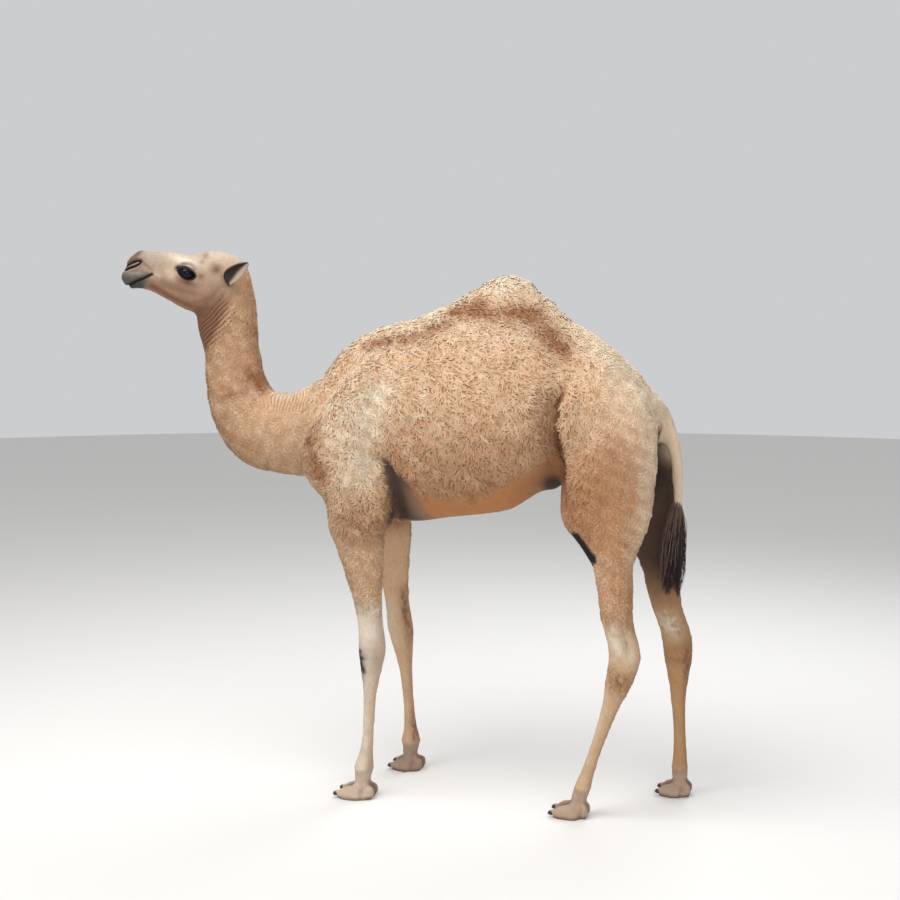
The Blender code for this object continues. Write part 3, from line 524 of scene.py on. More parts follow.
def leg_colours(points, colours, noise):
    """Adds the markings below knee and hock: pale shins, tan backs, bristly patches, pinkish feet, and
    painted shade in the hollows of knee and hock, in the toe clefts and on the far forefoot.
    """
    x, y, z = points.T
    _, middle, fine = noise
    streaky = 0.5 * middle + 0.5 * fine
    fore = y < LEG_SPLIT
    far = x < 0
    low = settle(0.7, 0.59, z + 0.02 * streaky)[:, None]
    shin = np.zeros_like(points)
    bristle = 1.0 + 0.6 * fine + 0.3 * middle + 0.6 * ripple(points, 0.008, 14)
    for kind, side, leg in each_leg(points):
        shin[leg] = SHIN_COLOURS[kind, side]
    shin = shin * (1.0 + 0.07 * streaky[:, None])
    for kind, side, leg in each_leg(points):
        own = leg & (z < 0.8)
        if own.sum() < 30:
            continue
        centre, half, _ = leg_middle(points, own)
        along = (y - centre) / half
        back = settle(0.2, 1.0, along) * own
        shin = shin * (1.0 - 0.22 * back[:, None] * np.array((0.7, 1.0, 1.2)))
        for colour, strength, place, height, half_along, half_height in LEG_MARKS[kind, side]:
            weight = strength * spot(along, z, (place, height), (half_along, half_height)) * own
            if strength > 1.0:
                weight = weight * np.maximum(bristle, 0.62)
            elif strength > 0.55:
                weight = weight * bristle
            shin = blended(shin, colour, weight)
    gap, along = toe_cleft(points)
    foot = settle(0.115, 0.06, z)
    ends = np.maximum(settle(0.55, 0.3, along), settle(0.7, 0.9, along))
    between = settle(0.03, 0.01, gap) * settle(0.06, 0.045, z)
    heel = bell(along - 0.69, 0.035) * settle(0.06, 0.04, z) * settle(0.015, 0.03, gap)
    return layered(colours * (1.0 - low) + shin * low, (
        (PAD_PINK, foot * 0.85),
        # Painted shade in the cleft between the toes.
        (TOE_CLEFT_SHADE, between * ends * 0.75),
        (HEEL_BROWN, heel * 0.55),
        # Painted shade on the forefoot of the far side.
        (FAR_FOOT_SHADE, foot * (fore & far) * 0.65),
        (HIND_FOOT, foot * ~fore * 0.35),
        (SOFT_BROWN, settle(0.014, 0.004, z) * 0.5),
    ))


def nostril_slits(ahead, height):
    """Distance from the two dark lines that make the nostril."""
    return np.minimum(line_gap(ahead, height, NOSTRIL_UPPER), line_gap(ahead, height, NOSTRIL_LOWER))


def head_colours(points, normals, colours, noise):
    """Adds the head's own markings to colours, and painted shade under the jaw and chin and around the ears'
    roots.
    """
    ahead, aside, height = head_frame(points)
    broad, middle, fine = noise
    beside = np.abs(aside)
    upward = normals[:, 2]
    below_jaw = settle(0.05, -0.03, height - read_off(ahead, JAW_TOP))
    nose = settle(0.296, 0.322, ahead + 0.6 * (height - 1.76))
    nose = nose * settle(1.735, 1.752, height + 0.35 * (ahead - 0.3))
    chin_underside_shade = settle(0.02, 0.05, ahead) * settle(1.625, 1.59, height) * settle(0.16, 0.12, ahead)
    throat_shade = spot(ahead, height, (0.03, 1.6), (0.04, 0.05))
    upper_edge = height - np.interp(ahead, (0.255, 0.3, 0.345, 0.38), (1.712, 1.722, 1.724, 1.728))
    above_mouth = height - mouth_height(ahead)
    lip = settle(0.252, 0.28, ahead - 0.9 * np.maximum(-above_mouth, 0.0))
    lip = lip * settle(0.005, -0.006, upper_edge)
    pale_lip = bell(upper_edge + 0.006, 0.008) * settle(0.26, 0.31, ahead)
    lower_lip = lip * settle(0.0, -0.006, above_mouth)
    outside = settle(0.006, 0.014, beside)
    slits = nostril_slits(ahead, height)
    over, rise, lean = eye_frame(ahead, height)
    skin = layered(filled(HEAD_TAN, len(points)), (
        (CHEEK_TAN, below_jaw * 0.9),
        (FACE_TOP, settle(0.05, 0.7, upward) * 0.75 * settle(0.31, 0.24, ahead)),
        (DOME_TAN, spot(ahead, height, (0.06, 1.79), (0.08, 0.045)) * 0.8),
        (NOSE_GREY, settle(0.17, 0.25, ahead) * settle(1.715, 1.745, height) * 0.75),
        (NOSE_PINK, nose * 0.95),
        # Painted shade: a dark line along the jaw's lower edge, under the chin and on the throat behind the
        # jaw.
        (JAW_SHADE_BROWN, bell(line_gap(ahead, height, JAW_LINE), 0.0105) * 0.95),
        (CHIN_TAN, settle(-0.55, -0.92, upward) * settle(0.31, 0.27, ahead) * 0.8),
        (JAW_SHADE_BROWN, chin_underside_shade * 0.8),
        (JAW_SHADE_BROWN, throat_shade * 0.35),
        (BROW_CREAM, bell(line_gap(ahead, height, MOUTH_CORNER), 0.01) * 0.36),
        (FOLD_BROWN, bell(line_gap(ahead, height, MUZZLE_FOLD), 0.008) * 0.6),
        (LIP_GREY, lip * (0.9 + 0.08 * middle)),
        (PALE_LIP, lip * pale_lip * 0.7),
        (LOWER_LIP, lower_lip * 0.7),
        (CHIN_GREY, lower_lip * settle(0.3, 0.275, ahead) * 0.7),
        (NEAR_BLACK, bell(line_gap(ahead, height, MOUTH_LINE), 0.0046) * 1.05),
        (SOFT_BROWN, bell(slits, 0.015) * 0.55 * outside),
        (NOSTRIL_PALE, bell(line_gap(ahead, height, NOSTRIL_FOLD), 0.0028) * 0.9 * outside),
        (NEAR_BLACK, bell(slits, 0.0033) * 1.4 * outside),
        (BROW_CREAM, spot(over, lean, (0.004, 0.036), (0.048, 0.013)) * 0.85),
        (CREAM, spot(over, rise, (0.052, -0.004), (0.022, 0.022)) * 0.4),
        (UNDER_EYE, spot(over, lean, (-0.004, -0.031), (0.032, 0.01)) * 0.8),
        (BEHIND_EYE, spot(over, rise, (-0.046, -0.012), (0.016, 0.011)) * 0.75),
    ))
    for centre, width, strength in TEMPLE_SPOTS:
        skin = blended(skin, SOFT_BROWN, spot(ahead, height, centre, (width, width)) * strength)
    lids = lid_measure(over, rise, 1.24)
    front_corner = spot(over + 0.4 * (rise - 0.018), rise, (0.029, 0.018), (0.0115, 0.0085))
    # Painted shade on the skull around the ear's root.
    ear_root_shade = spot(ahead, height, (0.008, 1.683), (0.017, 0.017)) * settle(0.03, 0.045, beside)
    skin = layered(skin, (
        (LID_PINK, bell(lids - 1.1, 0.12) * (lean > 0.004) * 0.8),
        (NEAR_BLACK, settle(1.1, 0.96, lids) * 0.97),
        (NEAR_BLACK, front_corner * 1.1),
        (SOFT_BROWN, ear_root_shade * 0.8),
    ))
    skin = skin * (1.0 + 0.05 * fine + 0.06 * broad)[:, None]
    head = head_amount(points)[:, None]
    return colours * (1.0 - head) + skin * head


def mouth_height(ahead):
    """How high the mouth's line runs, at each distance ahead."""
    return read_off(ahead, MOUTH_LINE[::-1])


def combed(points):
    """Places squeezed along the lie of the short hair, so a fine pattern on them runs in streaks."""
    ahead, aside, height = head_frame(points)
    on_head = (head_amount(points) > 0.12)[:, None]
    hanging = points * np.array((1.0, 1.0, 0.14))
    swept = np.stack((aside, ahead * 0.14, height), axis=1)
    return np.where(on_head, swept, hanging)


def lid_measure(over, rise, size=1.0):
    """Below 1 inside the almond of the eye's opening; over and rise are taken from the eye's centre."""
    lean = rise - LID_LEAN * over
    half_height = np.where(lean > 0.0, LID_UPPER, LID_LOWER) * size
    along = np.abs(over) / (LID_HALF_LENGTH * size)
    return (along ** LID_POWER + (np.abs(lean) / half_height) ** LID_POWER) ** (1.0 / LID_POWER)


def lie_of_coat(points, normals, seed, swirl):
    """Unit directions along the skin in which the hair lies, with whorls as strong as swirl."""
    y, z = points[:, 1:].T
    down = np.array((0.0, 0.0, -1.0))
    upright = settle(1.25, 1.42, z)[:, None]
    neck_flow = np.array((0.0, 0.9, -0.35)) * (1.0 - upright) + np.array((0.0, 0.06, -1.0)) * upright
    at_legs = settle(-0.02, -0.08, y) + settle(0.52, 0.6, y) + settle(0.86, 0.8, z)
    flow = layered(filled((0.0, 0.85, -0.55), len(points)), (
        ((0.0, 0.08, -1.0), settle(1.4, 1.2, z)),
        (neck_flow, settle(-0.24, -0.36, y)),
        (down, settle(1.05, 0.9, z) * at_legs.clip(0, 1)),
        (-AHEAD * 0.93 + down * 0.3, head_amount(points)),
    ))
    flow = unit(flow - normals * np.sum(flow * normals, axis=1)[:, None])
    angle = swirl * (0.8 * ripple(points, 0.09, seed) + 0.75 * ripple(points, 0.038, seed + 1))
    return turned_by(angle, flow, np.cross(normals, flow))[0]


# ---- Mesh helpers ----

def object_from(name, data):
    """A new object in the scene with this mesh, lamp or camera."""
    thing = bpy.data.objects.new(name, data)
    bpy.context.scene.collection.objects.link(thing)
    return thing


def mesh_from_bmesh(name, shape):
    """A new mesh of this shape, which is freed."""
    mesh = bpy.data.meshes.new(name)
    shape.to_mesh(mesh)
    shape.free()
    return mesh


def read_all(items, key, size, kind=float):
    """One attribute of all items of a mesh, as rows of the given size."""
    values = np.empty(len(items) * size, dtype=kind)
    items.foreach_get(key, values)
    return values.reshape(-1, size)


def read_values(mesh, name):
    """A named attribute with one number per vertex."""
    return read_all(mesh.attributes[name].data, "value", 1, np.float32)[:, 0]


def add_attribute(mesh, name, kind, values):
    """Keeps one number or one vector per vertex on a mesh."""
    key = "value" if kind == "FLOAT" else "vector"
    values = np.asarray(values, dtype=np.float32).reshape(-1)
    mesh.attributes.new(name, kind, "POINT").data.foreach_set(key, values)


def read_points(mesh):
    """The places of a mesh's vertices."""
    return read_all(mesh.vertices, "co", 3)


def write_points(mesh, points):
    """Moves a mesh's vertices to these places."""
    mesh.vertices.foreach_set("co", points.reshape(-1))
    mesh.update()


def read_normals(mesh):
    """The normals of a mesh's vertices."""
    return read_all(mesh.vertex_normals, "vector", 3)


def read_edges(mesh):
    """The two vertices of each of a mesh's edges."""
    return read_all(mesh.edges, "vertices", 2, np.int64)


def neighbour_mean(points, edges):
    """The mean of each vertex's neighbours."""
    first, second = edges.T
    count = len(points)
    shared = np.maximum(np.bincount(edges.reshape(-1), minlength=count), 1)
    sums = [
        np.bincount(first, column[second], count) + np.bincount(second, column[first], count)
        for column in points.T
    ]
    return np.stack(sums, axis=1) / shared[:, None]


def evened(points, edges, rounds, weight=1.0):
    """Smooths facets away without shrinking: each round pulls in, then pushes back out."""
    share = weight * np.ones((len(points), 1))
    for _ in range(rounds):
        points = points + 0.55 * share * (neighbour_mean(points, edges) - points)
        points = points - 0.57 * share * (neighbour_mean(points, edges) - points)
    return points


def cut_finer(mesh, chosen):
    """Splits every edge between chosen vertices in two."""
    shape = bmesh.new()
    shape.from_mesh(mesh)
    shape.verts.ensure_lookup_table()
    edges = [edge for edge in shape.edges if chosen[edge.verts[0].index] and chosen[edge.verts[1].index]]
    bmesh.ops.subdivide_edges(shape, edges=edges, cuts=1, use_grid_fill=True)
    shape.to_mesh(mesh)
    shape.free()
    mesh.update()


def paint(mesh, colours):
    """Keeps the coat's colours on a mesh, one per vertex."""
    full = np.ones((len(colours), 4), dtype=np.float32)
    full[:, :3] = np.clip(colours, 0.0, 1.0)
    layer = mesh.attributes.new("markings", "FLOAT_COLOR", "POINT")
    layer.data.foreach_set("color", full.reshape(-1))


def rounded_off(mesh, sharp_from=None):
    """Shades the mesh smooth, and keeps the edges sharper than the given angle crisp."""
    mesh.polygons.foreach_set("use_smooth", np.ones(len(mesh.polygons), dtype=bool))
    if sharp_from is not None:
        mesh.set_sharp_from_angle(angle=sharp_from)
    mesh.update()


def finished(thing, slot, material):
    """Gives a piece its material and the body it rides on; the slot is not used."""
    thing.data.materials.clear()
    thing.data.materials.append(material)
    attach(thing, BODY)
    return thing


# ---- Materials ----

def set_inputs(node, **values):
    """Sets a node's inputs, each named in lower case with underlines for spaces."""
    for socket in node.inputs:
        key = socket.name.lower().replace(" ", "_")
        if key in values:
            socket.default_value = values.pop(key)


def attribute_output(nodes, name, output):
    """What a named attribute of the mesh holds."""
    node = nodes.new("ShaderNodeAttribute")
    node.attribute_name = name
    return node.outputs[output]


def add_bump(nodes, links, height, distance):
    """Makes the main shader uneven, as high as the given output."""
    bump = nodes.new("ShaderNodeBump")
    set_inputs(bump, strength=1.0, distance=distance)
    links.new(height, bump.inputs["Height"])
    links.new(bump.outputs["Normal"], nodes["Principled BSDF"].inputs["Normal"])


def new_material(name, **settings):
    """A material with these settings of its main shader, and its nodes and links."""
    material = bpy.data.materials.new(name)
    material.use_nodes = True
    nodes = material.node_tree.nodes
    set_inputs(nodes["Principled BSDF"], **settings)
    return material, nodes, material.node_tree.links


def add_noise(nodes, links, vector, scale, detail):
    """Noise over the given places."""
    noise = nodes.new("ShaderNodeTexNoise")
    set_inputs(noise, scale=scale, detail=detail)
    links.new(vector, noise.inputs["Vector"])
    return noise.outputs["Fac"]


def hair_material(name, roughness, sheen, variation, bump_height, scales, pattern):
    """A dull finish that takes its colour from the painted markings, broken up by fine noise.

    The noise for colour and the one for the bump follow the attribute named by pattern."""
    material, nodes, links = new_material(
        name, roughness=roughness, sheen_weight=sheen, sheen_roughness=0.55, specular_ior_level=0.2,
    )
    place = attribute_output(nodes, pattern, "Vector")
    spread = nodes.new("ShaderNodeMapRange")
    set_inputs(spread, from_min=0.3, from_max=0.7, to_min=1.0 - variation, to_max=1.0 + variation)
    links.new(add_noise(nodes, links, place, scales[0], 3.0), spread.inputs["Value"])
    shade = nodes.new("ShaderNodeMix")
    shade.data_type = "RGBA"
    shade.blend_type = "MULTIPLY"
    shade.inputs["Factor"].default_value = 1.0
    links.new(attribute_output(nodes, "markings", "Color"), shade.inputs["A"])
    links.new(spread.outputs["Result"], shade.inputs["B"])
    links.new(shade.outputs["Result"], nodes["Principled BSDF"].inputs["Base Color"])
    add_bump(nodes, links, add_noise(nodes, links, place, scales[1], 4.0), bump_height)
    return material


def plain_material(name, colour, roughness):
    """A finish of one even colour."""
    return new_material(name, base_color=(*colour, 1.0), roughness=roughness)[0]


def painted_material(name, roughness, specular):
    """A finish in the painted colours."""
    material, nodes, links = new_material(name, roughness=roughness, specular_ior_level=specular)
    links.new(attribute_output(nodes, "markings", "Color"), nodes["Principled BSDF"].inputs["Base Color"])
    return material


# ---- Sizes and colours a user would change ----

def number_setting(label, text, default, low, high, **kind):
    """A number that a user can change."""
    return FloatProperty(name=label, description=text, default=default, min=low, max=high, **kind)


def count_setting(label, text, default, low, high):
    """A whole number that a user can change."""
    return IntProperty(name=label, description=text, default=default, min=low, max=high)


def length_setting(label, text, default, low, high):
    """A length in metres that a user can change."""
    return number_setting(label, text, default, low, high, subtype="DISTANCE", unit="LENGTH")


def colour_setting(label, text, default):
    """A colour that a user can change."""
    return FloatVectorProperty(
        name=label, description=text, default=default, min=0.0, max=1.0, subtype="COLOR",
    )


class CamelSkinSettings(bpy.types.PropertyGroup):
    cell: length_setting("Skin cell", "Size of the skin's mesh cells on the body", 0.0113, 0.006, 0.03)
    lid_wall: length_setting("Lid thickness", "How far the lids stand over the eyeball", 0.0024, 0.001, 0.005)
    crease_depth: length_setting("Neck crease depth", "Depth of creases behind the jaw", 0.0038, 0.0, 0.006)
    flank_depth: length_setting("Flank fold depth", "Depth of the fold before the thigh", 0.026, 0.0, 0.04)


class CamelFleeceSettings(bpy.types.PropertyGroup):
    length: length_setting("Lock length", "Length of the longest locks of fleece", 0.028, 0.01, 0.06)
    width: length_setting("Lock width", "Width of the widest locks of fleece", 0.0066, 0.002, 0.03)
    cover: number_setting("Cover", "How many layers of locks lie over each other", 2.75, 0.2, 6.0)
    plush_cover: number_setting("Plush cover", "The same for the short wool of neck and legs", 1.42, 0.2, 6.0)
    swirl: number_setting("Curl", "How far the locks stray from the lie of the coat", 0.6, 0.0, 2.0)


class CamelShortHairSettings(bpy.types.PropertyGroup):
    length: length_setting("Hair length", "Length of the short tufts on the legs", 0.0105, 0.003, 0.03)
    width: length_setting("Tuft width", "Width of the short tufts on the legs", 0.002, 0.001, 0.01)
    tufts: count_setting("Tufts", "Number of short tufts over the whole animal", 22000, 0, 60000)


class CamelEyeSettings(bpy.types.PropertyGroup):
    eye_colour: colour_setting("Eye", "Colour of the eyeball around the iris", (0.004, 0.004, 0.006))
    iris_colour: colour_setting("Iris", "Colour of the iris", (0.008, 0.009, 0.016))
    lashes: count_setting("Lashes", "Lashes on each eye", 64, 0, 200)
    nail_colour: colour_setting("Nail", "Colour of the toenails", (0.03, 0.023, 0.019))


class CamelTailSettings(bpy.types.PropertyGroup):
    strands: count_setting("Strands", "Strands in the tail's tassel", 760, 10, 3000)
    hair_colour: colour_setting("Tassel", "Colour of the tassel's hair", (0.022, 0.013, 0.013))
    sunlit_colour: colour_setting("Tassel highlight", "Colour of its sunlit strands", (0.2, 0.08, 0.06))


class CamelStageSettings(bpy.types.PropertyGroup):
    floor_colour: colour_setting("Floor", "Colour of the floor", (0.74, 0.73, 0.71))
    room_light: number_setting("Room light", "Strength of the pale room's even light", 0.62, 0.0, 10.0)
    key_power: number_setting("Key light", "Power of the overhead light", 150.0, 0.0, 2000.0, unit="POWER")
    fill_power: number_setting("Fill light", "Power of the soft near light", 60.0, 0.0, 2000.0, unit="POWER")
    lens: number_setting("Lens", "Focal length of the camera in millimetres", 60.6, 20.0, 200.0)


# ---- Skin ----

# How much the knees and hocks rise (or sink): place as (along the leg's depth, height), and half sizes.
KNEE_RELIEF = (
    (0.0032, (-0.1, 0.522), (0.5, 0.026)),
    (-0.0036, (0.3, 0.575), (0.25, 0.04)),
    (-0.0034, (-0.25, 0.47), (0.3, 0.018)),
)
HOCK_RELIEF = (
    (0.003, (-0.35, 0.57), (0.25, 0.05)),
    (-0.003, (-0.2, 0.5), (0.5, 0.014)),
)
# How bright the skin is left under wool, as painted shade in the gaps between locks, and the mark of the ears
# where the rest has its share of fleece.
UNDER_WOOL_SHADE = 0.62
EARS_MARK = 2.0
LOOSE_NODES = ("eye_", "nail_", "ear_", "tail_tuft")
FLESH = [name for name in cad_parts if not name.startswith(LOOSE_NODES)]
SWELL = 0.0012


def swollen_flesh():
    """All flesh nodes and the nails in one mesh, each swollen until it meets its neighbours."""
    together = bmesh.new()
    nails = [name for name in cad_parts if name.startswith("nail_")]
    for name in FLESH + nails:
        part = bmesh.new()
        part.from_mesh(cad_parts[name].data)
        bmesh.ops.remove_doubles(part, verts=part.verts, dist=1e-5)
        part.normal_update()
        for vertex in part.verts:
            vertex.co += vertex.normal * SWELL
        swollen = mesh_from_bmesh(f"{name}_swollen", part)
        together.from_mesh(swollen)
        bpy.data.meshes.remove(swollen)
    return mesh_from_bmesh("flesh_together", together)


def drawn_onto(points, chosen, tree):
    """Moves the chosen points onto the nearest place of the flesh, which the coarse cells had rounded off."""
    drawn = points.copy()
    for i in np.flatnonzero(chosen):
        place, _, _, gap = tree.find_nearest(points[i])
        if place is not None and gap < 0.01:
            drawn[i] = place
    return drawn


def remeshed(mesh, cell):
    """One closed mesh of even cells around mesh."""
    source = object_from("flesh_source", mesh)
    remesh = source.modifiers.new("Even cells", "REMESH")
    remesh.mode = "VOXEL"
    remesh.voxel_size = cell
    depsgraph = bpy.context.evaluated_depsgraph_get()
    result = bpy.data.meshes.new_from_object(source.evaluated_get(depsgraph))
    bpy.data.objects.remove(source)
    bpy.data.meshes.remove(mesh)
    result.name = "camel_skin"
    return result


def fine_zone(points, level):
    """Where the skin's cells are halved: head, throat, neck folds and feet, then muzzle, creases and eyes."""
    y, z = points[:, 1:].T
    ahead, aside, height = head_frame(points)
    over, rise, _ = eye_frame(ahead, height)
    eye_gap = np.hypot(over, rise)
    bend = np.hypot((y - BEND_PLACE[0]) / 0.095, (z - BEND_PLACE[1]) / 0.05)
    if level == 1:
        return ((z > 1.47) & (y < -0.46)) | (z < 0.11) | (bend < 1.0)
    if level == 2:
        muzzle = (ahead > 0.235) & (z > 1.64)
        creases = (ahead > -0.04) & (ahead < 0.1) & (z > 1.45) & (z < 1.625)
        toes = (z < 0.048) & (toe_cleft(points)[0] < 0.016)
        eyes = (eye_gap < 0.044) & (np.abs(aside) > 0.03)
        return muzzle | creases | eyes | (bend < 0.85) | toes
    nostrils = nostril_slits(ahead, height) < 0.012
    mouth = (line_gap(ahead, height, MOUTH_LINE) < 0.006) & (ahead > 0.25)
    return (eye_gap < 0.032) & (np.abs(aside) > 0.04) | nostrils | mouth


def toe_cleft(points):
    """Distance sideways from the line between a foot's two toes, and the share of the foot's length from its
    front end."""
    x, y, z = points.T
    gap = np.full(len(points), 1.0)
    along = np.zeros(len(points))
    for kind, side in LEG_MARKS:
        low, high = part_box(f"{kind}leg_{side}_foot")
        nails = [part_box(f"nail_{kind}_{side}_{toe}") for toe in ("left", "right")]
        middle = sum(nail[0][0] + nail[1][0] for nail in nails) / 4.0
        here = (x > low[0] - 0.01) & (x < high[0] + 0.01) & (z < 0.11)
        here &= (y > low[1] - 0.01) & (y < high[1] + 0.01)
        gap = np.where(here, np.abs(x - middle), gap)
        along = np.where(here, (y - low[1]) / (high[1] - low[1]), along)
    return gap, along


def ridges(phase, power):
    """Parallel sharp lines, one at each whole number of phase."""
    return (0.5 + 0.5 * np.cos(2.0 * math.pi * phase)) ** power


def groove(gap, width, depth):
    """How far the skin moves outward around a groove: not at all, and inward near its line."""
    return -depth * bell(gap, width)


def sculpt_body(points, normals, fleece):
    """Moves the body's skin: flank fold, elbow pit and fold, leg hollows and neck folds."""
    x, y, z = points.T
    side = np.abs(x)
    sideways = settle(0.2, 0.6, np.abs(normals[:, 0]))
    # The flank sinks slowly towards the fold, and the thigh stands up sharply behind it.
    behind = y - fold_place(z)
    sink = np.where(behind < 0.0, bell(behind, 0.045), bell(behind, 0.011))
    window = sideways * (side > 0.1) * settle(1.39, 1.31, z) * settle(0.98, 1.06, z)
    move = (0.01 * bell(behind - 0.04, 0.026) - bpy.context.scene.camel_skin.flank_depth * sink) * window
    pit = groove(line_gap(y, z, ELBOW_PIT), 0.026, 0.024)
    move += pit * (side > 0.07) * settle(0.89, 0.93, z) * sideways
    move += 0.013 * spot(y, z, (-0.022, 0.93), (0.034, 0.04)) * (side > 0.12)
    move += groove(line_gap(y, z, UNDER_BULGE), 0.009, 0.007) * (side > 0.14)
    move += groove(line_gap(y, z, ARM_EDGE), 0.012, 0.004) * (side > 0.14)
    sheath = spot(y, z, (0.51, 1.03), (0.035, 0.02)) * (side < 0.1) * settle(-0.1, -0.5, normals[:, 2])
    move += 0.01 * sheath + leg_relief(points, normals)
    # A dozen fine folds over the top of the neck's bend.
    phase = (y - BEND_PLACE[0]) / 0.0125 + 0.35 * ripple(points, 0.09, 21) + 4.0 * (z - BEND_PLACE[1])
    folds = ridges(phase, 3) * bend_window(points)
    move += 0.0014 * fleece * ripple(points, 0.045, 22) - 0.0034 * folds
    return points + normals * move[:, None], folds


def leg_relief(points, normals):
    """How far each leg's skin moves: tendons, knees, hocks and fetlocks under thin skin."""
    y, z = points[:, 1:].T
    move = np.zeros(len(points))
    for kind, _, leg in each_leg(points):
        leg &= z < 0.85
        middle, half, _ = leg_middle(points, leg)
        along = (y - middle) / half
        cannon = settle(0.47, 0.42, z) * settle(0.17, 0.22, z)
        own = groove(along - 0.3, 0.17, 0.0042) * cannon
        own += groove(along + 0.3, 0.15, 0.0022) * cannon * settle(0.26, 0.34, z)
        own += 0.0034 * bell(z - 0.172, 0.02) * settle(0.9, 0.5, np.abs(along))
        own += groove(z - 0.124, 0.018, 0.003)
        if kind == "hind":
            own += groove(along - 0.3, 0.19, 0.0085) * settle(0.5, 0.54, z) * settle(0.73, 0.63, z)
        for rise, place, half_sizes in KNEE_RELIEF if kind == "fore" else HOCK_RELIEF:
            own += rise * spot(along, z, place, half_sizes)
        move += own * np.abs(normals[:, 0]) * leg
    return move


def leg_middle(points, leg):
    """Middle y, half depth and middle x of one leg at each point's height."""
    own = points[leg]
    rows = []
    for level in np.linspace(own[:, 2].min(), own[:, 2].max(), 40):
        near = own[np.abs(own[:, 2] - level) < 0.016]
        if len(near) > 5:
            low = near.min(axis=0)
            high = near.max(axis=0)
            rows.append((level, (low[1] + high[1]) / 2, (high[1] - low[1]) / 2, (low[0] + high[0]) / 2))
    levels, *measures = zip(*rows)
    return [np.interp(points[:, 2], levels, measure) for measure in measures]


def throat_creases(points):
    """Share of crease at each point: parallel lines that run from the ear down to the throat."""
    y, z = points[:, 1:].T
    across = (y + 0.6) * 0.688 - (z - 1.617) * 0.725
    along = -(y + 0.6) * 0.725 - (z - 1.617) * 0.688
    lines = ridges((across + 0.62 * along ** 2) / 0.012 + 0.22 * ripple(points, 0.1, 31), 4)
    lines = lines * settle(-0.022, -0.01, across) * settle(0.086, 0.064, across)
    lines = lines * settle(-0.024, 0.012, along) * settle(0.185, 0.13, along)
    upright = ridges((y + 0.529) / 0.0125 + 0.25 * ripple(points, 0.06, 32), 4)
    upright = upright * bell(y + 0.527, 0.02) * bell(z - 1.556, 0.03)
    return np.maximum(lines, 0.8 * upright) * (y < -0.48)


def sculpt_head(points, normals):
    """Moves the head's skin: mouth, nostrils, lips, brow, temples, jaw and throat creases."""
    ahead, aside, height = head_frame(points)
    beside = np.abs(aside)
    outside = settle(0.007, 0.015, beside)
    flank = settle(0.02, 0.035, beside)
    cheek = settle(0.015, 0.03, beside)
    over, _, lean = eye_frame(ahead, height)
    mouth_gap = line_gap(ahead, height, MOUTH_LINE)
    above = height > mouth_height(ahead)
    cleft = bell(aside, 0.0022) * settle(0.335, 0.352, ahead) * above * settle(1.745, 1.725, height)
    creases = throat_creases(points)
    move = groove(mouth_gap, 0.0034, 0.0064) * settle(0.25, 0.272, ahead)
    move += 0.003 * bell(mouth_gap - 0.0095, 0.0055) * above * settle(0.285, 0.32, ahead)
    move += 0.0024 * bell(mouth_gap - 0.008, 0.005) * ~above * settle(0.285, 0.31, ahead)
    move -= 0.0022 * cleft
    move += groove(nostril_slits(ahead, height), 0.0042, 0.0078) * outside
    # Ridges and hollows along lines: the line, its shift upwards, half width, rise, and where it shows.
    for line, shift, width, rise, window in (
        (NOSTRIL_FOLD, 0.0, 0.0024, 0.0034, outside),
        (NOSTRIL_LOWER, -0.01, 0.0045, 0.0026, outside),
        (NOSTRIL_UPPER, 0.01, 0.0055, 0.003, outside),
        (MUZZLE_FOLD, 0.0, 0.006, -0.0032, settle(0.01, 0.02, beside)),
        (JAW_HOLLOW, 0.0, 0.016, -0.0042, flank),
        (JAW_RIDGE, 0.0, 0.009, 0.0022, cheek),
    ):
        move += rise * bell(line_gap(ahead, height - shift, line), width) * window
    move += groove(line_gap(ahead, height, CHEEK_EDGE) - 0.012, 0.008, 0.0026) * flank
    for place, half_sizes, rise in NOSE_SWELLINGS:
        move += rise * spot(ahead, height, place, half_sizes)
    move += 0.003 * spot(ahead, height, (0.33, 1.706), (0.03, 0.014)) * settle(0.008, 0.018, beside)
    for place, width, depth in SKULL_HOLLOWS:
        move -= depth * spot(ahead, height, place, (width, width)) * cheek
    brow = 0.0062 * spot(over, lean, (0.004, 0.034), (0.038, 0.01))
    arch = 0.0026 * spot(over, lean, (0.016, -0.042), (0.05, 0.012))
    move += (brow + arch) * settle(0.02, 0.04, beside) - bpy.context.scene.camel_skin.crease_depth * creases
    return points + normals * move[:, None], creases


def shape_lids(points):
    """Lays the skin over each eyeball as lids around an almond opening, and sinks it inside the opening."""
    ahead, start_aside, height = head_frame(points)
    aside = start_aside
    reach = EYE_RADIUS + bpy.context.scene.camel_skin.lid_wall
    over, rise, _ = eye_frame(ahead, height)
    gap = np.hypot(over, rise)
    for sign in (1.0, -1.0):
        here = (sign * aside > 0.03) & (gap < 0.046)
        # The rim of the opening is drawn tight onto the almond.
        measure = lid_measure(over, rise)
        tight = np.where(here & (np.abs(measure - 1.0) < 0.05), 1.0 / np.maximum(measure, 0.5), 1.0)
        over = over * tight
        rise = rise * tight
        radius = np.hypot(over, rise)
        ring = lid_measure(over, rise)
        lid = np.sqrt(np.maximum(reach ** 2 - radius ** 2, (0.3 * reach) ** 2))
        lid += 0.0014 * bell(ring - 1.12, 0.09)
        lid += groove(ring - 1.5, 0.1, 0.0022) * settle(0.002, 0.006, rise)
        lid += groove(ring - 1.6, 0.12, 0.0014) * settle(-0.002, -0.006, rise)
        sunk = EYE_ASIDE + np.sqrt(np.maximum((EYE_RADIUS - 0.004) ** 2 - radius ** 2, 0.0)) - 0.001
        closeness = settle(0.043, 0.0245, radius)
        target = np.abs(aside) * (1.0 - closeness) + (EYE_ASIDE + lid) * closeness
        aside = np.where(here, sign * np.where(ring < 0.985, sunk, target), aside)
    moved = points + (over + EYE_AHEAD - ahead)[:, None] * AHEAD + (aside - start_aside)[:, None] * ASIDE
    moved[:, 2] = EYE_HEIGHT + rise
    return moved


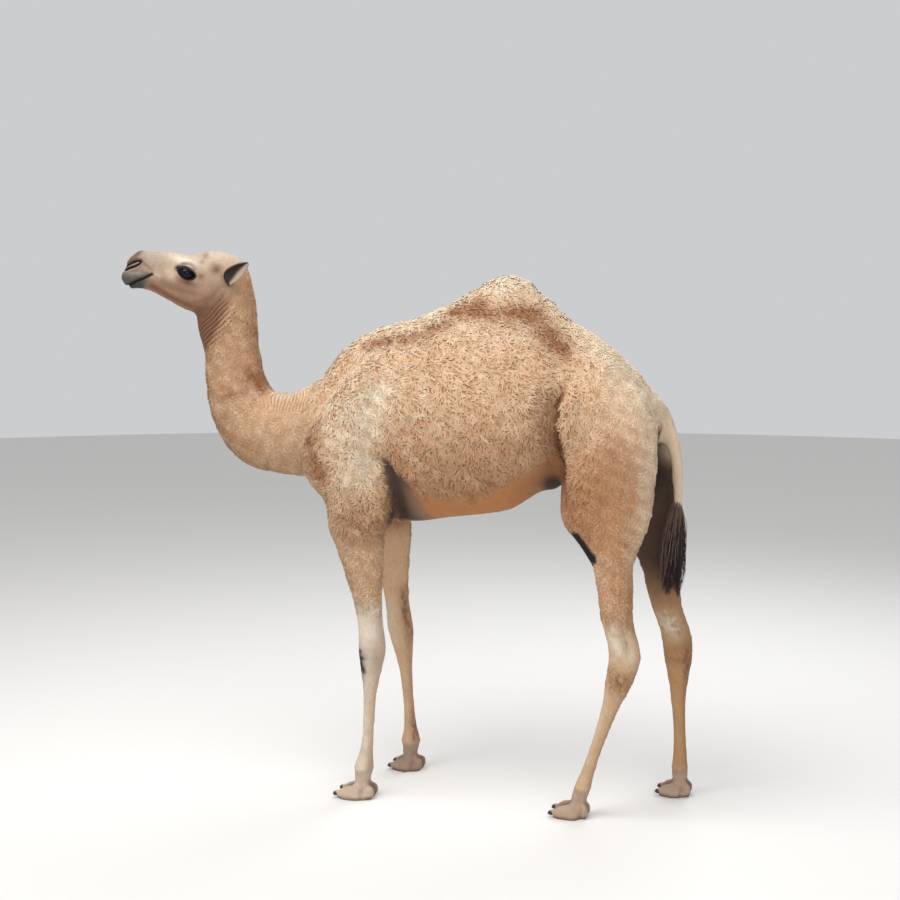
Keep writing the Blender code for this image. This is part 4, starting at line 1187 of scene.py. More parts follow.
def sculpt_feet(points, normals):
    """Splits each foot into two toes in front and two rounded heels behind, on pads with a rounded edge."""
    z = points[:, 2]
    gap, along = toe_cleft(points)
    front = settle(0.56, 0.3, along) * settle(0.066, 0.046, z)
    back = settle(0.66, 0.84, along) * settle(0.062, 0.044, z)
    waist = bell(along - 0.69 - 0.8 * (z - 0.02), 0.04) * settle(0.058, 0.036, z) * settle(0.02, 0.034, gap)
    move = groove(gap, 0.007, 0.013) * front + groove(gap, 0.0064, 0.011) * back - 0.007 * waist
    move *= settle(0.001, 0.007, z)
    move += 0.0022 * spot(along, z, (0.36, 0.02), (0.26, 0.018)) * settle(0.012, 0.026, gap)
    level = unit(normals * np.array((1.0, 1.0, 0.0)) + 1e-9)
    tuck = 0.006 * np.clip(1.0 - z / 0.014, 0.0, 1.0) ** 2 * settle(0.075, 0.06, z)
    tuck *= settle(0.05, 0.35, np.hypot(normals[:, 0], normals[:, 1]))
    return points + normals * move[:, None] - level * tuck[:, None]


EAR_OUTLINE = (
    (-0.22, 0.4), (-0.08, 0.6), (0.08, 0.8), (0.22, 0.93), (0.38, 1.0),
    (0.52, 0.98), (0.68, 0.84), (0.82, 0.56), (0.92, 0.29), (1.0, 0.03),
)
# How far the ear is rolled up across, from root to tip, in radians on each side.
EAR_ROLL = ((-0.22, 0.35), (0.1, 0.65), (0.38, 1.0), (0.6, 1.05), (1.0, 0.8))
# The ear's sheet starts inside the head, at this share of its length.
EAR_START = -0.1
# The part of the ear behind its middle line is the wider one.
EAR_REAR_SHARE = 0.38
# How far across the ear its dark middle reaches towards the rear rim, from root to tip.
EAR_DARK_REACH = ((0.0, 1.3), (0.25, 0.68), (0.55, 0.22), (0.85, -0.05), (1.0, -0.25))


def ear_place(sign):
    """The turn and shift that put an ear modelled along +Y, open towards +Z, in its place on the head."""
    mirror = Vector((sign, 1.0, 1.0))
    along = (Vector(EAR_LEAN if sign > 0 else FAR_EAR_LEAN) * mirror).normalized()
    opening = Vector(EAR_FACING) * mirror
    opening = (opening - along * opening.dot(along)).normalized()
    turn = Matrix((along.cross(opening), along, opening)).transposed().to_4x4()
    root = Vector(EAR_ROOT) * mirror
    if sign < 0:
        root += Vector(FAR_EAR_SHIFT)
    place = Matrix.Translation((HEAD_AXIS[0], HEAD_AXIS[1], 0.0)) @ Matrix.Rotation(HEAD_TURN, 4, "Z")
    return place @ Matrix.Translation(root) @ turn


def ear_mesh(sign):
    """One thin cupped leaf-shaped ear, dark in the middle of its inside and pale along its rear rim."""
    shape = bmesh.new()
    bmesh.ops.create_grid(shape, x_segments=18, y_segments=34, size=0.5)
    layers = [shape.verts.layers.float.new(name) for name in ("across", "grown")]
    for vertex in shape.verts:
        grown = EAR_START + (1.0 - EAR_START) * (vertex.co.y + 0.5)
        share = 2.0 * vertex.co.x
        vertex[layers[0]] = sign * share
        vertex[layers[1]] = grown
        roll = read_off(grown, EAR_ROLL)
        radius = EAR_HALF_WIDTH * read_off(grown, EAR_OUTLINE) * (1.0 + EAR_REAR_SHARE * sign * share) / roll
        rounding = 0.12 * share * share
        hang = 0.01 * grown * grown - 0.04 * settle(0.12 + rounding, -0.1 + rounding, grown)
        angle = roll * share
        vertex.co = (radius * math.sin(angle), grown * EAR_LENGTH, radius * (1.0 - math.cos(angle)) + hang)
    all_ways = {"use_axis_x": True, "use_axis_y": True, "use_axis_z": True}
    for _ in range(3):
        bmesh.ops.smooth_vert(shape, verts=shape.verts, factor=0.4, **all_ways)
    sheet = np.array([vertex.co[:] for vertex in shape.verts])
    places = [[vertex[layer] for layer in layers] for vertex in shape.verts]
    bmesh.ops.solidify(shape, geom=shape.faces[:], thickness=EAR_WALL)
    for vertex in shape.verts:
        nearest = int(np.argmin(np.sum((sheet - np.array(vertex.co[:])) ** 2, axis=1)))
        for layer, value in zip(layers, places[nearest]):
            vertex[layer] = value
    bmesh.ops.smooth_vert(shape, verts=shape.verts, factor=0.3, **all_ways)
    bmesh.ops.recalc_face_normals(shape, faces=shape.faces)
    mesh = mesh_from_bmesh(f"ear_{sign:+.0f}", shape)
    across, grown = (read_values(mesh, name) for name in ("across", "grown"))
    for name in ("across", "grown"):
        mesh.attributes.remove(mesh.attributes[name])
    inside = settle(-0.1, 0.25, read_normals(mesh)[:, 2])
    reach = read_off(grown, EAR_DARK_REACH)
    rear_rim = settle(0.72, 1.0, across) * settle(0.5, 0.9, grown)
    front_rim = settle(-0.58, -0.86, across) * settle(0.05, 0.25, grown)
    colours = layered(filled(EAR_BACK, len(mesh.vertices)), (
        (SOFT_BROWN, settle(0.6, 1.0, grown) * 0.6),
        (EAR_INSIDE, inside * 0.85),
        (EAR_REAR_RIM, inside * rear_rim * 0.22),
        (EAR_DARK, inside * settle(reach + 0.3, reach - 0.22, across) * 0.98),
        (EAR_FRONT_RIM, inside * front_rim * 0.85),
    ))
    paint(mesh, colours)
    mesh.transform(ear_place(sign))
    return mesh


class CAMEL_OT_skin(bpy.types.Operator):
    """Builds the one skin that covers the whole animal, ears included"""
    bl_idname = "camel.make_skin"
    bl_label = "Skin"

    def execute(self, context):
        flesh = swollen_flesh()
        tree = BVHTree.FromPolygons([v.co for v in flesh.vertices], [p.vertices for p in flesh.polygons])
        mesh = remeshed(flesh, context.scene.camel_skin.cell)
        if not len(mesh.vertices):
            raise RuntimeError("the flesh nodes gave an empty skin")
        write_points(mesh, evened(read_points(mesh), read_edges(mesh), 22))
        for level, rounds in ((1, 14), (2, 8), (3, 5)):
            cut_finer(mesh, fine_zone(read_points(mesh), level))
            points = read_points(mesh)
            points = evened(points, read_edges(mesh), rounds, fine_zone(points, level)[:, None])
            if level == 1:
                foot = points[:, 2] < 0.105
                points = drawn_onto(points, foot, tree)
                points = evened(points, read_edges(mesh), 6, foot[:, None])
            write_points(mesh, points)
        points = read_points(mesh)
        normals = read_normals(mesh)
        fleece = fleece_amount(points, normals)
        depth = coat_depth(points, fleece) + SWELL
        grounded = points[:, 2] < 0.004
        write_points(mesh, points - normals * depth[:, None])
        points, bend = sculpt_body(read_points(mesh), read_normals(mesh), fleece)
        write_points(mesh, points)
        points, creases = sculpt_head(read_points(mesh), read_normals(mesh))
        write_points(mesh, shape_lids(points))
        points = sculpt_feet(read_points(mesh), read_normals(mesh))
        points[grounded, 2] = 0.0
        points[:, 2] = np.maximum(points[:, 2], 0.0)
        write_points(mesh, points)
        # Painted shade: the skin under the wool is darkened and warmed, most where the fleece is long.
        under_wool_shade = np.clip(1.4 * fleece - 0.4, 0.0, 1.0)
        under_wool_shade = under_wool_shade * (0.35 + 0.65 * settle(0.56, 0.68, fleece_length(points)))
        colours = coat_colours(points, read_normals(mesh))
        colours = colours * (1.0 - under_wool_shade[:, None] * (1.0 - UNDER_WOOL_SHADE ** WARM_DARK))
        paint(mesh, self.shaded(points, colours, creases, bend))
        self.mark(mesh, fleece)
        self.add_ears(mesh)
        rounded_off(mesh)
        material = hair_material("short_hair_skin", 0.8, 0.0, 0.1, 0.0009, (420.0, 800.0), "combed")
        thing = finished(object_from("camel_skin", mesh), "fleece", material)
        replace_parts(thing, *FLESH, "ear_left", "ear_right")
        return {"FINISHED"}

    def shaded(self, points, colours, creases, bend):
        """Paints shade into the bottoms of folds and creases, and into the cleft between the toes."""
        folds = np.clip(creases + 0.8 * bend, 0.0, 1.0)[:, None]
        gap, along = toe_cleft(points)
        ends = np.maximum(settle(0.5, 0.3, along), settle(0.7, 0.85, along))
        cleft = (bell(gap, 0.006) * settle(0.06, 0.04, points[:, 2]) * ends)[:, None]
        colours = colours * (1.0 - folds * np.array((0.55, 0.66, 0.72)))
        return colours * (1.0 - cleft * np.array((0.62, 0.74, 0.78)))

    def mark(self, mesh, fleece):
        """Keeps on the mesh where fleece grows, EARS_MARK on the ears without hair, and the combed places."""
        add_attribute(mesh, "wool", "FLOAT", fleece)
        add_attribute(mesh, "combed", "FLOAT_VECTOR", combed(read_points(mesh)))

    def add_ears(self, mesh):
        """Adds both ears, as loose leaves whose roots lie inside the head."""
        shape = bmesh.new()
        shape.from_mesh(mesh)
        for sign in (1, -1):
            ear = ear_mesh(sign)
            self.mark(ear, np.full(len(ear.vertices), EARS_MARK))
            shape.from_mesh(ear)
            bpy.data.meshes.remove(ear)
        shape.to_mesh(mesh)
        shape.free()


# ---- Locks of fleece and tufts of short hair ----

def lock_template(levels, widths):
    """A closed tapering tube along +Z from z = 0 to its tip at z = 1, made once and copied many times."""
    shape = bmesh.new()
    bmesh.ops.create_circle(shape, cap_ends=True, segments=3, radius=widths[0])
    shape.faces.ensure_lookup_table()
    bmesh.ops.reverse_faces(shape, faces=shape.faces)
    top = shape.faces[0]
    for below, level, before, width in zip(levels, levels[1:-1], widths, widths[1:-1]):
        made = bmesh.ops.extrude_face_region(shape, geom=[top], use_keep_orig=(below == levels[0]))
        ring = [item for item in made["geom"] if isinstance(item, bmesh.types.BMVert)]
        top = next(item for item in made["geom"] if isinstance(item, bmesh.types.BMFace))
        bmesh.ops.scale(shape, vec=(width / before, width / before, 1.0), verts=ring)
        bmesh.ops.translate(shape, vec=(0.0, 0.0, level - below), verts=ring)
    made = bmesh.ops.poke(shape, faces=[top])
    made["verts"][0].co.z = 1.0
    bmesh.ops.recalc_face_normals(shape, faces=shape.faces)
    shape.verts.index_update()
    points = np.array([vertex.co[:] for vertex in shape.verts])
    faces = [[vertex.index for vertex in face.verts] for face in shape.faces]
    shape.free()
    return points, faces


def triangle_areas(triangles):
    """The area of each triangle, from its three corners."""
    first, second, third = triangles.transpose(1, 0, 2)
    return 0.5 * np.linalg.norm(np.cross(second - first, third - first), axis=1)


def place_on_skin(triangles, density, seed):
    """Even random places on triangles, as many as density asks for: each one's triangle and place in it."""
    rng = np.random.default_rng(seed)
    wanted = np.cumsum(triangle_areas(triangles) * density)
    count = int(wanted[-1])
    picks = np.searchsorted(wanted, np.arange(count) + rng.uniform(0.0, 1.0, count))
    picks = np.minimum(picks, len(triangles) - 1)
    a = rng.uniform(size=count)
    b = rng.uniform(size=count)
    folded = a + b > 1.0
    a = np.where(folded, 1.0 - a, a)
    b = np.where(folded, 1.0 - b, b)
    return picks, np.stack((1.0 - a - b, a, b), axis=1)


class SkinSurface:
    """The skin's triangles with its own normals, for placing hair."""

    def __init__(self, mesh):
        mesh.calc_loop_triangles()
        self.index = read_all(mesh.loop_triangles, "vertices", 3, np.int64)
        self.points = read_points(mesh)
        self.normals = read_normals(mesh)
        self.bare = read_values(mesh, "wool") > 0.75 * EARS_MARK

    def at(self, values, picks, weights):
        """Values at places in the picked triangles."""
        return np.sum(values[self.index[picks]] * weights[:, :, None], axis=1)


def ring_of(template, levels):
    """Which of the levels each point of a template lies at."""
    return np.argmin(np.abs(template[:, 2:3] - np.asarray(levels)), axis=1)


def moved_by(points, *moves):
    """Copies of a template, each from its own root or line, moved in its own directions by these amounts."""
    moved = points if points.ndim == 3 else points[:, None, :]
    for direction, amount in moves:
        moved = moved + direction[:, None, :] * amount[:, :, None]
    return moved


def above_floor(shaped):
    """The same points, with those under the floor lifted onto it."""
    shaped[:, :, 2] = np.maximum(shaped[:, :, 2], 0.0)
    return shaped


def sown(surface, density, field, seed):
    """Roots on the skin, as dense as the field says at the roots, with the skin's normals there."""
    high = density[surface.index].max(axis=1)
    picks, weights = place_on_skin(surface.points[surface.index], high, seed)
    roots = surface.at(surface.points, picks, weights)
    normals = unit(surface.at(surface.normals, picks, weights))
    kept = np.random.default_rng(seed + 5).uniform(size=len(roots)) * high[picks] < field(roots, normals)
    kept &= ~surface.bare[surface.index[picks, 0]]
    return roots[kept], normals[kept]


def around(sideways, upward):
    """The turn about a middle line, from 0 to 1."""
    return np.arctan2(sideways, upward) / (2.0 * math.pi) + 0.5


def unwrapped(points):
    """Where each point lies on the skin laid out flat: each limb, the neck, head, tail and trunk unrolled
    around its own middle line. Gives the name of the region and its two flat coordinates."""
    x, y, z = points.T
    ahead, aside, height = head_frame(points)
    zone = np.select((y < 0.02, y < 0.32, y < 0.56), ("fore", "mid", "back"), "rump")
    left = np.where(x > 0, "left", "right")
    names = np.array([f"{a}_{b}" for a, b in zip(zone, left)], dtype=object)
    flat = np.stack((around(x, z - 1.24), y), axis=1)

    def lay(chosen, turn, along, name):
        """Unrolls the chosen points around a middle line of their own."""
        flat[chosen] = np.stack((turn, along), axis=1)[chosen]
        names[chosen] = name

    head = head_amount(points) > 0.5
    neck = ~head & (y < NECK_START)
    gap, place = line_distance(y, z, NECK_LINE)
    upright = y < np.interp(z, (1.36, 1.72), (-0.59, -0.605))
    below = np.where(z > 1.36, upright, z < read_off(y, NECK_LINE[::-1]))
    lay(neck, around(x, np.where(below, -gap, gap)), place, [f"neck_{side}" for side in left[neck]])
    lay(head, around(aside, height - 1.7), ahead, "head")
    tail = (np.abs(x) < 0.046) & (y > TAIL_START) & (z < 1.3)
    leg = ~tail & (z < np.where(y < LEG_SPLIT, 0.9, 0.98))
    for kind, side, own in each_leg(points):
        own &= leg
        if own.sum() > 19:
            middle_y, _, middle_x = leg_middle(points, own)
            lay(own, around(x - middle_x, y - middle_y), z, f"{kind}leg_{side}")
    lay(tail, around(x, y - 0.885), z, "tail")
    return names, flat


def regions(roots, merged=None):
    """Each region with enough roots: its name, which roots are its own, and where they lie flat."""
    names, flat = unwrapped(roots)
    if merged:
        names = np.array([merged.get(name, name) for name in names], dtype=object)
    for name in sorted(set(names)):
        chosen = names == name
        if chosen.sum() > 10:
            yield name, chosen, flat[chosen]


# The side of the square that one lock takes on the unwrap.
PATCH = 0.003


def hair_piece(name, template, faces, shaped, colours, flat, slot, material):
    """One mesh of many copies of a template, shaped as (copies, points, 3), at flat places on the unwrap."""
    copies, size, _ = shaped.shape
    mesh = bpy.data.meshes.new(name)
    one = np.concatenate([np.asarray(face) for face in faces])
    starts = np.cumsum([0] + [len(face) for face in faces[:-1]])
    number = np.arange(copies)[:, None]
    loops = (one + size * number).reshape(-1)
    begin = (starts + len(one) * number).reshape(-1)
    mesh.vertices.add(copies * size)
    mesh.loops.add(len(loops))
    mesh.polygons.add(len(begin))
    mesh.vertices.foreach_set("co", shaped.reshape(-1))
    mesh.loops.foreach_set("vertex_index", loops.astype(np.int32))
    mesh.polygons.foreach_set("loop_start", begin.astype(np.int32))
    mesh.update(calc_edges=True)
    low = flat.min(axis=0)
    roots = 0.01 + 0.975 * (flat - low) / np.maximum(flat.max(axis=0) - low, 1e-6)
    patch = np.stack((0.5 + 0.5 * template[:, 0], template[:, 2]), axis=1) * PATCH
    corners = (roots[:, None, :] + patch[None, :, :]).reshape(-1, 2)
    layer = mesh.uv_layers.new(name="OFBake")
    layer.uv.foreach_set("vector", corners[loops].astype(np.float32).reshape(-1))
    paint(mesh, colours.reshape(-1, 3))
    # The strands of each lock run along it, in a pattern of its own.
    own = np.random.default_rng(copies).uniform(0.0, 40.0, size=(copies, 1, 3))
    strand = np.stack((template[:, 0] * 1.6 + template[:, 1], template[:, 2] * 0.5, template[:, 1]), axis=1)
    add_attribute(mesh, "strand", "FLOAT_VECTOR", strand + own)
    rounded_off(mesh, math.radians(70.0))
    mesh.validate()
    return finished(object_from(name, mesh), slot, material)


def turned_by(angle, lie, across):
    """Both directions turned along the skin by angle."""
    cosine = np.cos(angle)[:, None]
    sine = np.sin(angle)[:, None]
    return lie * cosine + across * sine, across * cosine - lie * sine


# Darker hair, and the painted shade at lock roots and under wool, is also warmer: powers of a shade for its
# red, green and blue.
WARM_DARK = np.array((0.8, 1.3, 1.75))
# Levels along one lock, its widths and rise at each, and how bright it is there: darker at the root as
# painted shade between locks.
HAIR_FORMS = {
    "fleece": (
        (0.0, 0.32, 0.66, 1.0), (0.75, 1.0, 0.8, 0.0),
        (-0.4, 0.6, 0.94, 0.62), (0.74, 0.95, 1.03, 1.05),
    ),
    "plush": ((0.0, 0.5, 1.0), (0.7, 1.0, 0.0), (-0.3, 0.75, 0.85), (0.84, 0.99, 1.06)),
}
# Wool below one share of the longest fleece grows as plush; no lock is shorter than the other share.
PLUSH_BELOW = 0.62
LEAST_LENGTH = 0.4


class CAMEL_OT_fleece(bpy.types.Operator):
    """Covers the trunk with small curly locks, and neck and upper legs with shorter plush"""
    bl_idname = "camel.make_fleece"
    bl_label = "Curly fleece"

    def execute(self, context):
        settings = context.scene.camel_fleece
        surface = SkinSurface(bpy.data.objects["camel_skin"].data)
        material = hair_material("fleece_wool", 0.84, 0.02, 0.1, 0.0002, (1.8, 3.0), "strand")
        lock = settings.length, settings.width
        plush = 0.62 * settings.length, 0.55 * settings.width
        for kind, size, cover, seed in (
            ("fleece", lock, settings.cover, 41),
            ("plush", plush, settings.plush_cover, 141),
        ):
            levels, widths, rise, shade = HAIR_FORMS[kind]
            full = cover / (0.55 * size[0] * size[1])
            density = full * self.growth(surface.points, surface.normals, kind)
            roots, normals = sown(surface, density, lambda p, n: full * self.growth(p, n, kind), seed)
            wool = fleece_amount(roots, normals)
            grown = (LEAST_LENGTH + (1.0 - LEAST_LENGTH) * fleece_length(roots) if kind == "fleece" else 1.0)
            grown = grown * (0.55 + 0.45 * wool)
            clump = ripple(roots, 0.034, 44)
            template, faces = lock_template(levels, widths)
            depth = coat_depth(roots, wool) * (1.0 + 0.12 * clump)
            shaped, facing = self.curled(template, levels, rise, (roots, normals), size, grown, depth, seed)
            rng = np.random.default_rng(seed + 2)
            rough = 0.045 + 0.08 * settle(1.0, 0.85, roots[:, 2]) if kind == "plush" else 0.06
            own = 1.0 + rough * rng.normal(size=len(roots)) + 0.09 * clump
            own = own + 0.07 * ripple(roots, 0.016, 45) + 0.05 * ripple(roots, 0.075, 46)
            own = np.clip(own, 0.45, 1.5)[:, None] ** WARM_DARK
            warm = rng.normal(size=(len(roots), 1)) * np.array((0.0, -0.02, -0.042)) + 1.0
            colours = coat_colours(roots, normals) * own * warm
            # Painted shade: each lock is darker towards its root.
            shades = np.asarray(shade)[ring_of(template, levels)][:, None] ** WARM_DARK
            painted = colours[:, None, :] * shades[None, :, :]
            for name, chosen, flat in regions(roots):
                form = shaped[chosen], painted[chosen], flat
                thing = hair_piece(f"{kind}_{name}", template, faces, *form, "fleece", material)
                shading = facing[chosen].reshape(-1, 3).tolist()
                thing.data.normals_split_custom_set_from_vertices(shading)
        return {"FINISHED"}

    def growth(self, points, normals, kind):
        """Share of full cover that this kind of wool has at each point."""
        share = fleece_length(points)
        growth = np.clip(1.6 * fleece_amount(points, normals) - 0.1, 0.0, 1.0)
        growth = growth * (1.0 - 0.7 * bell(line_gap(points[:, 1], points[:, 2], FLANK_FOLD), 0.009))
        long_share = settle(PLUSH_BELOW - 0.06, PLUSH_BELOW + 0.06, share)
        if kind == "fleece":
            return growth * long_share / (LEAST_LENGTH + (1.0 - LEAST_LENGTH) * share) ** 2
        return growth * (1.0 - long_share)

    def curled(self, template, levels, rise, skin, size, grown, depth, seed):
        """Bends each lock sideways along the skin and lets it rise and tuck in again."""
        roots, normals = skin
        levels = np.asarray(levels)
        rng = np.random.default_rng(seed + 1)
        count = len(roots)
        lie = lie_of_coat(roots, normals, 51, bpy.context.scene.camel_fleece.swirl)
        lie, across = turned_by(rng.normal(scale=0.28, size=count), lie, np.cross(normals, lie))
        length = (size[0] * grown * rng.uniform(0.7, 1.25, count))[:, None]
        width = (size[1] * grown * rng.uniform(0.75, 1.25, count))[:, None]
        curl = rng.normal(scale=1.0, size=count)[:, None]
        wave = rng.uniform(-1.5, 1.5, count)[:, None]
        heading = curl * levels + wave * np.sin(2.0 * math.pi * levels)
        mid = 0.5 * (heading[:, 1:] + heading[:, :-1])
        start = np.zeros((count, 1))
        steps = np.diff(levels)
        forward = np.concatenate((start, np.cumsum(np.cos(mid) * steps, axis=1)), axis=1)
        sideways = np.concatenate((start, np.cumsum(np.sin(mid) * steps, axis=1)), axis=1)
        top = depth * rng.uniform(0.66, 1.02, count)
        uneven = 0.1 * rng.normal(size=(count, len(levels))) * (levels > 0.1)
        ring = ring_of(template, levels)
        turn = heading[:, ring]
        half = template[:, 0] * 0.5 * width
        along = forward[:, ring] * length - np.sin(turn) * half
        aside = sideways[:, ring] * length + np.cos(turn) * half
        height = (top[:, None] * (np.asarray(rise) + uneven))[:, ring] + template[:, 1] * 0.15 * width
        shaped = above_floor(moved_by(roots, (lie, along), (across, aside), (normals, height)))
        # Each lock is shaded as a low soft swelling, so its thin edges don't turn away from the light.
        tilt_on = 0.75 * (levels[ring] - 0.45)
        tilt_side = 0.8 * template[:, 0]
        forward_by = np.cos(turn) * tilt_on - np.sin(turn) * tilt_side
        aside_by = np.sin(turn) * tilt_on + np.cos(turn) * tilt_side
        facing = moved_by(normals, (lie, forward_by), (across, aside_by))
        return shaped, unit(facing.reshape(-1, 3)).reshape(facing.shape)


SHORT_LEVELS = (0.0, 0.5, 1.0)
SHORT_WIDTHS = (0.8, 1.0, 0.0)
SHORT_RISE = (-0.35, 0.55, 0.95)
SHORT_SHADE = (0.98, 1.0, 1.03)
# Regions of the trunk and neck that share one piece of short hair.
SHORT_REGIONS = {
    f"{zone}_{side}": name
    for name, zones in (("belly", ("fore", "mid", "back")), ("rear", ("rump",)), ("neck", ("neck",)))
    for zone in zones
    for side in ("left", "right")
}


class CAMEL_OT_short_hair(bpy.types.Operator):
    """Lays small flat tufts over the head, lower legs, belly and tail"""
    bl_idname = "camel.make_short_hair"
    bl_label = "Short hair"

    def execute(self, context):
        settings = context.scene.camel_short_hair
        surface = SkinSurface(bpy.data.objects["camel_skin"].data)
        growth = self.growth(surface.points, surface.normals)
        area = triangle_areas(surface.points[surface.index])
        scale = settings.tufts / np.sum(area * growth[surface.index].mean(axis=1))
        roots, normals = sown(surface, scale * growth, lambda p, n: scale * self.growth(p, n), 61)
        template, faces = lock_template(SHORT_LEVELS, SHORT_WIDTHS)
        shaped = self.laid(template, roots, normals, self.size(roots))
        rng = np.random.default_rng(63)
        colours = coat_colours(roots, normals) * (1.0 + 0.045 * rng.normal(size=(len(roots), 1)))
        shades = np.array(SHORT_SHADE)[ring_of(template, SHORT_LEVELS)]
        painted = colours[:, None, :] * shades[None, :, None]
        material = hair_material("short_hair_tufts", 0.76, 0.04, 0.04, 0.00004, (2.0, 2.0), "strand")
        for name, chosen, flat in regions(roots, SHORT_REGIONS):
            form = shaped[chosen], painted[chosen], flat
            hair_piece(f"short_hair_{name}", template, faces, *form, "short_coat", material)
        return {"FINISHED"}

    def size(self, points):
        """Size of the tufts at each point, smallest on head and feet."""
        size = 1.0 - 0.46 * head_amount(points)
        return np.where(points[:, 2] < 0.16, 0.6 * size, size)

    def growth(self, points, normals):
        """How many tufts grow at each point: a like cover but for lips, lids, pads and bare skin."""
        ahead, aside, height = head_frame(points)
        over, rise, _ = eye_frame(ahead, height)
        near_eye = (lid_measure(over, rise) < 1.75) & (np.abs(aside) > 0.03)
        lips = settle(0.235, 0.275, ahead) * settle(0.0, 0.05, ahead)
        bare = np.maximum(lips, near_eye | (points[:, 2] < 0.03))
        bare = np.maximum(bare, elbow_hollow(points) * 0.8)
        bare = np.maximum(bare, callus_amount(points, normals, 0.006))
        fleece = fleece_amount(points, normals)
        return np.clip(1.0 - fleece ** 2, 0.0, 1.0) * (1.0 - bare) / self.size(points) ** 2

    def laid(self, template, roots, normals, grown):
        """Lays each tuft almost flat along the skin, its tip just free of it."""
        settings = bpy.context.scene.camel_short_hair
        rng = np.random.default_rng(62)
        count = len(roots)
        lie = lie_of_coat(roots, normals, 71, 0.25)
        lie, across = turned_by(rng.normal(scale=0.18, size=count), lie, np.cross(normals, lie))
        ring = ring_of(template, SHORT_LEVELS)
        length = (settings.length * grown * rng.uniform(0.7, 1.3, count))[:, None]
        width = (settings.width * grown * rng.uniform(0.7, 1.3, count))[:, None]
        peak = (0.0013 * grown * rng.uniform(0.3, 1.25, count))[:, None]
        bend = rng.normal(scale=0.1, size=count)[:, None] * np.asarray(SHORT_LEVELS)[ring] ** 2 * length
        along = template[:, 2] * length
        aside = template[:, 0] * 0.5 * width + bend
        height = peak * np.array(SHORT_RISE)[ring] + template[:, 1] * 0.09 * width
        return above_floor(moved_by(roots, (lie, along), (across, aside), (normals, height)))


# ---- Tail tassel, eyes, lashes and nails ----

STRAND_LEVELS = (0.0, 0.14, 0.3, 0.46, 0.62, 0.78, 0.9, 1.0)
STRAND_WIDTHS = (0.8, 1.0, 1.0, 0.95, 0.85, 0.65, 0.42, 0.0)
LASH_LEVELS = (0.0, 0.35, 0.7, 1.0)
LASH_WIDTHS = (1.0, 0.9, 0.6, 0.0)
LASH_WIDTH = 0.00075
CLUMPS = 15
ROOT_TAN = (0.3, 0.2, 0.14)
PUPIL_BLACK = (0.002, 0.002, 0.003)


class CAMEL_OT_tassel(bpy.types.Operator):
    """Hangs the dark tassel of long hair at the end of the tail"""
    bl_idname = "camel.make_tassel"
    bl_label = "Tail tassel"

    def execute(self, context):
        settings = context.scene.camel_tail
        low, high = (np.asarray(corner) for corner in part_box("tail_tuft"))
        rng = np.random.default_rng(81)
        count = settings.strands
        template, faces = lock_template(STRAND_LEVELS, STRAND_WIDTHS)
        t = np.asarray(STRAND_LEVELS)
        ring = ring_of(template, STRAND_LEVELS)
        middle = np.array(((low[0] + high[0]) / 2, 0.8985))
        start = rng.uniform(0.835, 0.995, count)
        heading = rng.uniform(0.0, 2.0 * math.pi, count)
        outward = np.stack((np.cos(heading), np.sin(heading)), axis=1)
        layer = np.sqrt(rng.uniform(0.05, 1.0, count))[:, None]
        tail_radius = np.interp(start, (0.83, 0.93, 1.0), (0.006, 0.01, 0.0135))[:, None]
        # The strands gather towards the ends of a few clumps.
        clump = rng.integers(0, CLUMPS, count)
        turn = rng.uniform(0.0, 2.0 * math.pi, CLUMPS)
        clump_point = np.stack((np.cos(turn), np.sin(turn)), axis=1) * rng.uniform(0.35, 1.0, CLUMPS)[:, None]
        clump_end = rng.uniform(low[2] + 0.004, low[2] + 0.075, CLUMPS)
        end = np.maximum(clump_end[clump] + rng.normal(scale=0.008, size=count), low[2] + 0.001)
        end = np.where(rng.uniform(size=count) < 0.25, end + rng.uniform(0.02, 0.1, count), end)
        swell = np.sin(math.pi * t ** 0.9)
        wobble = rng.normal(scale=0.0016, size=(count, len(t), 2)) * (t > 0.1)[:, None]
        x, y = (
            middle[axis]
            + outward[:, axis:axis + 1] * (tail_radius * (1 - t) + half * layer * swell * 0.78)
            + clump_point[clump, axis][:, None] * half * 0.85 * t ** 1.6
            + wobble[:, :, axis]
            for axis, half in ((0, 0.03), (1, 0.04))
        )
        x = np.clip(x, low[0] - 0.004, high[0] + 0.004)
        y = np.clip(y - 0.016 * t, low[1] - 0.014, high[1] + 0.006)
        line = np.stack((x, y, start[:, None] + (end - start)[:, None] * t), axis=2)
        forward = unit(line[:, -1] - line[:, 0])
        sideways = unit(np.cross(forward, np.pad(outward, ((0, 0), (0, 1)))))
        width = (0.003 * rng.uniform(0.6, 1.25, count))[:, None]
        broad = template[:, 0] * 0.5 * width
        deep = template[:, 1] * 0.25 * width
        shaped = moved_by(line[:, ring], (sideways, broad), (np.cross(sideways, forward), deep))
        # Painted highlight: about a quarter of the strands on the tassel's front take the sunlit colour.
        bright = (rng.uniform(size=(count, 1)) < 0.26) * rng.uniform(0.2, 0.9, (count, 1))
        bright = bright * settle(0.9, 0.88, middle[1] + outward[:, 1:2] * 0.03)
        colours = layered(filled(settings.hair_colour, count), (
            (settings.sunlit_colour, bright[:, 0]),
            (ROOT_TAN, settle(0.955, 0.99, start) * 0.5),
        ))
        painted = colours[:, None, :] * (0.85 + 0.4 * t[ring])[None, :, None]
        flat = np.stack((heading / (2.0 * math.pi), start), axis=1)
        material = painted_material("tassel_hair", 0.55, 0.22)
        thing = hair_piece("tail_tassel", template, faces, shaped, painted, flat, "tail_hair", material)
        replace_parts(thing, "tail_tuft")
        return {"FINISHED"}


